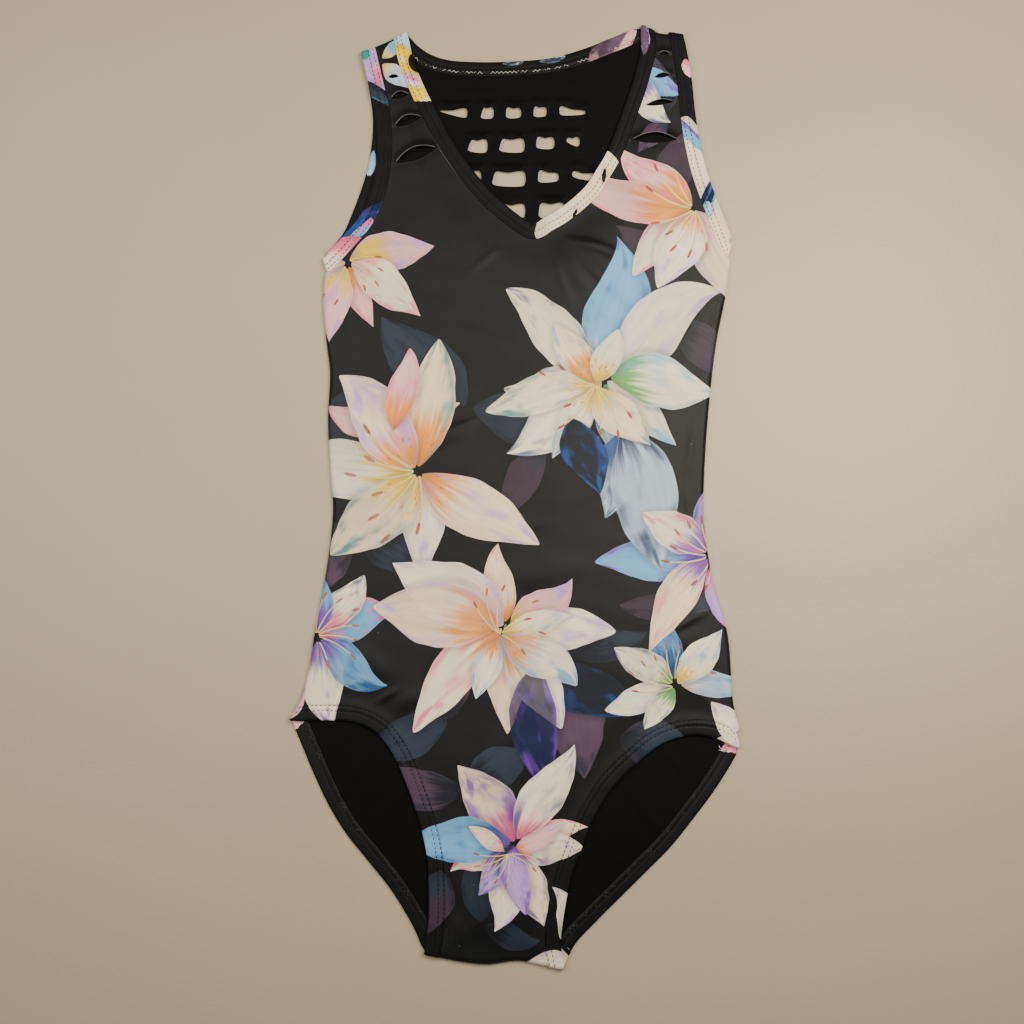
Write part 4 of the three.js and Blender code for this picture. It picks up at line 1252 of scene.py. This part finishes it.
def grown_piece(name, tree, lines, values):
    """A plain mesh that a geometry tree grows on polylines given in table millimetres."""
    mesh = bpy.data.meshes.new(name + "_rows")
    points = np.vstack(lines)
    points[:, :2] -= OUTLINE_MIDDLE
    edges = []
    start = 0
    for line in lines:
        edges += [(i, i + 1) for i in range(start, start + len(line) - 1)]
        start += len(line)
    mesh.from_pydata((points * MM).tolist(), edges, [])
    rows = bpy.data.objects.new(name + "_rows", mesh)
    bpy.context.scene.collection.objects.link(rows)
    modifier = rows.modifiers.new("Stitching", "NODES")
    modifier.node_group = tree
    sockets = {item.name: item.identifier for item in tree.interface.items_tree if item.in_out == "INPUT"}
    for key, value in values.items():
        modifier[sockets[key]] = value
    graph = bpy.context.evaluated_depsgraph_get()
    grown = bpy.data.meshes.new_from_object(rows.evaluated_get(graph))
    bpy.data.objects.remove(rows)
    grown.name = name
    return add_piece(name, grown)


def require(condition, message):
    if not condition:
        raise RuntimeError(message)


def length_value(name, description, default):
    return bpy.props.FloatProperty(name=name, description=description, default=default, unit="LENGTH")


def colour_value(name, description, default):
    return bpy.props.FloatVectorProperty(name=name, description=description, default=default, subtype="COLOR")


class ClothSettings(bpy.types.PropertyGroup):
    mesh_step: length_value("Mesh step", "Spacing of the front's points", 0.0018)
    wall: length_value("Cloth thickness", "Thickness of one layer of knit", 0.0008)
    lip_lift: length_value("Cut edge lift", "How far the edges of the strap cuts lift", 0.0011)
    ground: colour_value("Ground", "Colour of the print's black ground", (0.0034, 0.0035, 0.0045))
    lining: colour_value("Lining", "Colour of the lining", (0.0029, 0.0029, 0.0032))


class StitchSettings(bpy.types.PropertyGroup):
    pitch: length_value("Stitch pitch", "Distance from stitch to stitch", 0.0027)
    length: length_value("Stitch length", "Visible length of a stitch", 0.0020)
    thread: length_value("Thread width", "Width of the sewing thread", 0.00055)


class StageSettings(bpy.types.PropertyGroup):
    elevation: bpy.props.FloatProperty(
        name="Camera elevation", description="Angle of the view above the table", default=math.radians(84),
        subtype="ANGLE")
    distance: length_value("Camera distance", "From the camera to its aim", 0.78)
    lens: bpy.props.FloatProperty(name="Lens", description="Focal length on a 36 mm sensor, in millimetres",
                                  default=44.1)
    aim: bpy.props.FloatVectorProperty(name="Aim", description="Point on the table that the camera looks at",
                                       default=(-0.00184, -0.0206, 0.0), subtype="XYZ")
    floor: colour_value("Table colour", "Colour of the plain pale surface", (0.50, 0.425, 0.285))


def wall_fields(places, printed, raw):
    """Vertex fields for both faces of a wall: the print, the cloth's own place and the raw rims."""
    fields = {key: np.tile(values, (2, 1)) for key, values in printed.items()}
    fields["cloth_uv"] = np.tile(places, (2, 1)) * MM
    fields["raw_edge"] = np.repeat(raw[:, None], 3, axis=1)
    return fields


def front_guides(folds):
    """Points that the front's mesh keeps: by the neck, along the rolled edges and round the strap cuts."""
    guides = [strip_edge("neck_binding", "front", FRONT_REACH + RAW_WIDTH)]
    for depth in ROLL_GUIDES:
        inward = ((0, depth), (-depth, 0), (0, -depth), (0, -depth), (depth, 0))
        guides += [fold + np.array(shift) for fold, shift in zip(folds, inward)]
    for row in STRAP_CUTS:
        guides += [lens(row, grow) for grow in (RAW_WIDTH, 1.3, 2.6)]
    return np.vstack(guides)


def cut_lips(x, y, holes, lift):
    """How far the edges of the strap cuts lift, and how raw they look."""
    heights = np.zeros(len(x))
    raw = np.zeros(len(x))
    for row, hole in zip(STRAP_CUTS, holes):
        near = nearest_distance(x, y, hole)
        _, above = rotated(x - row["x"], y - row["y"], row["angle"])
        reach = lift * (0.4 + row["width"] / 12)
        heights += reach * np.exp(-((near / LIP_REACH) ** 2)) * np.where(above > 0, 1.0, -0.25)
        raw = np.maximum(raw, np.where(above > 0.05, 0.42, 0.05) * (near < 0.05))
    return heights, raw


def neck_seam(x, y):
    """How raw the front's edge looks beside the lower left part of the neck binding."""
    middle = STRANDS["neck_binding"]["front"]["place"]
    by_neck = nearest_distance(x, y, middle) < STRIP_WIDTH / 2 + 0.25
    share = smoothstep(y, 172, 190) * smoothstep(y, 262, 240) * (x < 0)
    share = share * (0.15 + 0.4 * ripple(x, y, 9, 2))
    return by_neck * np.clip(share, 0, 1)


class LEOTARD_OT_front(bpy.types.Operator):
    """Makes the printed front with its rolled edges, folds and strap cuts"""
    bl_idname = "leotard.front"
    bl_label = "Front"

    def execute(self, context):
        chosen = context.scene.leotard_cloth
        step = chosen.mesh_step / MM
        outline, folds = panel_outline("front", FRONT_REACH, 0, step * 0.8)
        holes = [lens(row) for row in STRAP_CUTS]
        places, triangles = triangulate(outline, holes, front_guides(folds), step)
        x, y = places[:, 0], places[:, 1]
        lifted, raw = cut_lips(x, y, holes, chosen.lip_lift / MM)
        raw = np.maximum(raw, neck_seam(x, y))
        points, faces = shell(places, front_height(x, y) + lifted, triangles, chosen.wall / MM)
        fields = wall_fields(places, petal_fields(x, y, FRONT_PETALS, BLOOMS), np.tile(raw, 2))
        material = cloth_material("printed_knit_front", chosen.ground, 0.0005, 0.45, 0.03, 0.25, rims=True)
        piece = cloth_object("front_cloth", points, faces, fields, material)
        require(len(piece.data.polygons) < MOST_FACES, "the front has too many faces")
        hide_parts("front_panel")
        return {"FINISHED"}


class LEOTARD_OT_back(bpy.types.Operator):
    """Makes the printed back, face down, with its lattice of windows"""
    bl_idname = "leotard.back"
    bl_label = "Back"

    def execute(self, context):
        chosen = context.scene.leotard_cloth
        outline, _ = panel_outline("back", BACK_REACH, BACK_INSET, 2.4)
        holes = [window(row, 0) for row in LATTICE]
        rings = [around(hole, RAW_WIDTH) for hole in holes]
        places, triangles = triangulate(outline, holes, np.vstack(rings), 3.2)
        x, y = places[:, 0], places[:, 1]
        points, faces = shell(places, np.full(len(x), BACK_LEVEL), triangles, BACK_LEVEL)
        by_window = nearest_distance(x, y, np.vstack(holes)) < 0.05
        raw = np.concatenate([np.ones(len(x)), by_window])
        fields = wall_fields(places, petal_fields(-x, -y - 20, FRONT_PETALS, BLOOMS), raw)
        material = cloth_material("printed_knit_back", chosen.ground, 0.0005, 0.52, 0.03, 0.16, rims=True)
        piece = cloth_object("back_cloth", points, faces, fields, material)
        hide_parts("back_panel")
        return {"FINISHED"}


def lining_height(x, y):
    """Height of the lining, with its creases and a soft lip over each window."""
    height = LINING_LEVEL + ridge_height(x, y, LINING_CREASES) * LINING_CREASE_DEPTH
    height += 0.08 * ripple(x, y, 7, 5)
    for row in LATTICE:
        left, right = row["left"], row["right"]
        drop = row["depth"] * (1 - row["right_height"]) * 0.7
        top = row["y"] + row["depth"] / 2 - (x > (left + right) / 2) * drop
        within = smoothstep(x, left - 4, left) * smoothstep(x, right + 3.5, right)
        height += 1.5 * within * np.exp(-(((y - top - 2.2) / 1.3) ** 2))
    return height


class LEOTARD_OT_lining(bpy.types.Operator):
    """Makes the black lining that lies on the back"""
    bl_idname = "leotard.lining"
    bl_label = "Lining"

    def execute(self, context):
        chosen = context.scene.leotard_cloth
        outline, _ = panel_outline("back", BACK_REACH, LINING_INSET, 2.2)
        holes = [window(row, LINING_SETBACK) for row in LATTICE]
        places, triangles = triangulate(outline, holes, np.empty((0, 2)), 2.4)
        heights = lining_height(places[:, 0], places[:, 1])
        points, faces = shell(places, heights, triangles, LINING_WALL)
        fields = {"cloth_uv": np.tile(places, (2, 1)) * MM}
        material = cloth_material("black_lining_knit", chosen.lining, 0.0011, 0.62, 0.02, 0.08, printed=False)
        piece = cloth_object("back_lining_cloth", points, faces, fields, material)
        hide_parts("back_lining")
        return {"FINISHED"}


def make_strip(name, material):
    """One strip as a cloth ring, with its print."""
    points, faces, run, across, strand_side, face_side = strip_mesh(name)
    on_back = strand_side == 2
    patched = petal_fields(run, across, patch_petals(name, "back"), [])
    if name in HEMS:
        on_back = on_back & ~face_side
        printed = petal_fields(points[:, 0], points[:, 1], FRONT_PETALS, BLOOMS)
    else:
        printed = petal_fields(run, across, patch_petals(name, "front"), [])
    fields = {key: np.where(on_back[:, None], patched[key], values) for key, values in printed.items()}
    fields["cloth_uv"] = np.column_stack([across, run]) * MM
    piece = cloth_object(name + "_cloth", points, faces, fields, material, sharp=80)
    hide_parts(name)
    length = STRANDS[name]["front"]["run"][-1] + STRANDS[name]["back"]["run"][-1]
    length * MM
    return piece


class LEOTARD_OT_bindings(bpy.types.Operator):
    """Makes the strips round the neck and the armholes"""
    bl_idname = "leotard.bindings"
    bl_label = "Bindings"

    def execute(self, context):
        ground = context.scene.leotard_cloth.ground
        material = cloth_material("binding_knit", ground, 0.0006, 0.54, 0.04, 0.16)
        for name in BINDINGS:
            make_strip(name, material)
        return {"FINISHED"}


class LEOTARD_OT_hems(bpy.types.Operator):
    """Makes the turned hems round the legs"""
    bl_idname = "leotard.hems"
    bl_label = "Hems"

    def execute(self, context):
        ground = context.scene.leotard_cloth.ground
        material = cloth_material("hem_knit", ground, 0.0005, 0.47, 0.03, 0.19)
        for name in HEMS:
            make_strip(name, material)
        return {"FINISHED"}


def stitch_lines(name):
    """The rows of stitches on a strip's front."""
    front = STRANDS[name]["front"]
    lines = []
    for row in STITCH_ROWS[name]:
        place = front["place"] + front["across"] * row
        lines.append(np.column_stack([place, np.full(len(place), STITCH_HEIGHT)]))
    return lines


def looper_line(name, pitch):
    """The zigzag thread on the inside of a strip's back."""
    back = STRANDS[name]["back"]
    near, far = LOOPER_EDGES[name]
    count = int(back["run"][-1] / (pitch / 2))
    at = np.linspace(0, back["run"][-1], count)
    place, across = (np.column_stack([np.interp(at, back["run"], back[key][:, i]) for i in (0, 1)])
                     for key in ("place", "across"))
    offset = np.where(np.arange(count) % 2, near, far)
    return np.column_stack([place + across * offset[:, None], np.full(count, LOOPER_HEIGHT)])


class LEOTARD_OT_stitches(bpy.types.Operator):
    """Sews the double rows on the front and the looper threads on the inside of the back strips"""
    bl_idname = "leotard.stitches"
    bl_label = "Stitches"

    def execute(self, context):
        chosen = context.scene.leotard_stitch
        dark = thread_material("dark_thread", (0.004, 0.004, 0.004), (0.012, 0.011, 0.011), 0.5)
        dull = thread_material("dull_looper_thread", (0.008, 0.008, 0.009), (0.07, 0.068, 0.066), 0.52)
        pale = thread_material("looper_thread", (0.045, 0.043, 0.045), (0.62, 0.60, 0.58), 0.50)
        rows_tree, loop_tree = stitch_tree(), looper_tree()
        sewn = {"Pitch": chosen.pitch, "Length": chosen.length, "Width": chosen.thread, "Material": dark}
        for name in STRIPS:
            grown_piece("stitches_" + name, rows_tree, stitch_lines(name), sewn)
            thread = pale if name == "neck_binding" else dull
            zigzag = looper_line(name, chosen.pitch / MM)
            grown_piece("looper_" + name, loop_tree, [zigzag], {"Material": thread})
        tails = [tail_line(row) for row in TAILS]
        grown_piece("thread_tails", loop_tree, tails, {"Material": pale, "Thread Radius": TAIL_RADIUS})
        return {"FINISHED"}


def aimed(direction):
    """The rotation of a camera or a lamp that faces along a direction."""
    return direction.to_track_quat("-Z", "Y").to_euler()


def add_light(name, place, aim, size, power, colour):
    data = bpy.data.lights.new(name, "AREA")
    data.shape = "RECTANGLE"
    data.size = data.size_y = size
    data.energy = power
    data.color = colour
    lamp = bpy.data.objects.new(name, data)
    lamp.location = place
    lamp.visible_camera = False
    lamp.rotation_euler = aimed(Vector(aim) - Vector(place))
    bpy.context.scene.collection.objects.link(lamp)


def add_camera(chosen):
    data = bpy.data.cameras.new("camera")
    data.lens = chosen.lens
    data.sensor_width = 36
    data.dof.use_dof = False
    camera = bpy.data.objects.new("camera", data)
    towards = Vector((0, -math.cos(chosen.elevation), math.sin(chosen.elevation)))
    camera.location = Vector(chosen.aim) + towards * chosen.distance
    camera.rotation_euler = aimed(-towards)
    bpy.context.scene.collection.objects.link(camera)
    bpy.context.scene.camera = camera


def add_table(colour):
    mesh = bpy.data.meshes.new("table")
    corners = [(x * TABLE_HALF, y * TABLE_HALF, 0) for x, y in ((-1, -1), (1, -1), (1, 1), (-1, 1))]
    mesh.from_pydata(corners, [], [(0, 1, 2, 3)])
    mesh.materials.append(floor_material("pale_table", colour))
    top = bpy.data.objects.new("table", mesh)
    bpy.context.scene.collection.objects.link(top)


class LEOTARD_OT_stage(bpy.types.Operator):
    """Sets the camera, the soft light and the plain table"""
    bl_idname = "leotard.stage"
    bl_label = "Stage"

    def execute(self, context):
        chosen = context.scene.leotard_stage
        add_camera(chosen)
        add_table(chosen.floor)
        add_light("window_light", (0.33, 0.16, 0.56), (0.08, 0.05, 0), 0.36, 4.9, (1.0, 0.93, 0.80))
        add_light("room_light", (-0.40, 0.18, 0.74), (-0.05, 0.06, 0), 0.8, 5.6, (1.0, 0.95, 0.86))
        world = bpy.data.worlds.new("soft_room")
        world.use_nodes = True
        background = world.node_tree.nodes["Background"]
        background.inputs[0].default_value = (1.0, 0.97, 0.92, 1)
        background.inputs[1].default_value = 0.16
        context.scene.world = world
        return {"FINISHED"}


class LEOTARD_PT_panel(bpy.types.Panel):
    bl_label = "Leotard"
    bl_idname = "LEOTARD_PT_panel"
    bl_space_type = "VIEW_3D"
    bl_region_type = "UI"
    bl_category = "Leotard"

    def draw(self, context):
        for group in ("leotard_cloth", "leotard_stitch", "leotard_stage"):
            values = getattr(context.scene, group)
            for key in values.__annotations__:
                self.layout.prop(values, key)
        for operator in OPERATORS:
            self.layout.operator(operator.bl_idname)


OPERATORS = (LEOTARD_OT_stage, LEOTARD_OT_back, LEOTARD_OT_lining, LEOTARD_OT_front, LEOTARD_OT_bindings,
             LEOTARD_OT_hems, LEOTARD_OT_stitches)
GROUPS = {"leotard_cloth": ClothSettings, "leotard_stitch": StitchSettings, "leotard_stage": StageSettings}


def register():
    for group in (*GROUPS.values(), *OPERATORS, LEOTARD_PT_panel):
        bpy.utils.register_class(group)
    for name, group in GROUPS.items():
        setattr(bpy.types.Scene, name, bpy.props.PointerProperty(type=group))


def unregister():
    for name in GROUPS:
        delattr(bpy.types.Scene, name)
    for group in (LEOTARD_PT_panel, *reversed(OPERATORS), *reversed(GROUPS.values())):
        bpy.utils.unregister_class(group)


def main():
    register()
    bpy.ops.leotard.stage()
    bpy.ops.leotard.back()
    bpy.ops.leotard.lining()
    bpy.ops.leotard.front()
    bpy.ops.leotard.bindings()
    bpy.ops.leotard.hems()
    bpy.ops.leotard.stitches()


if __name__ == "__main__":
    main()
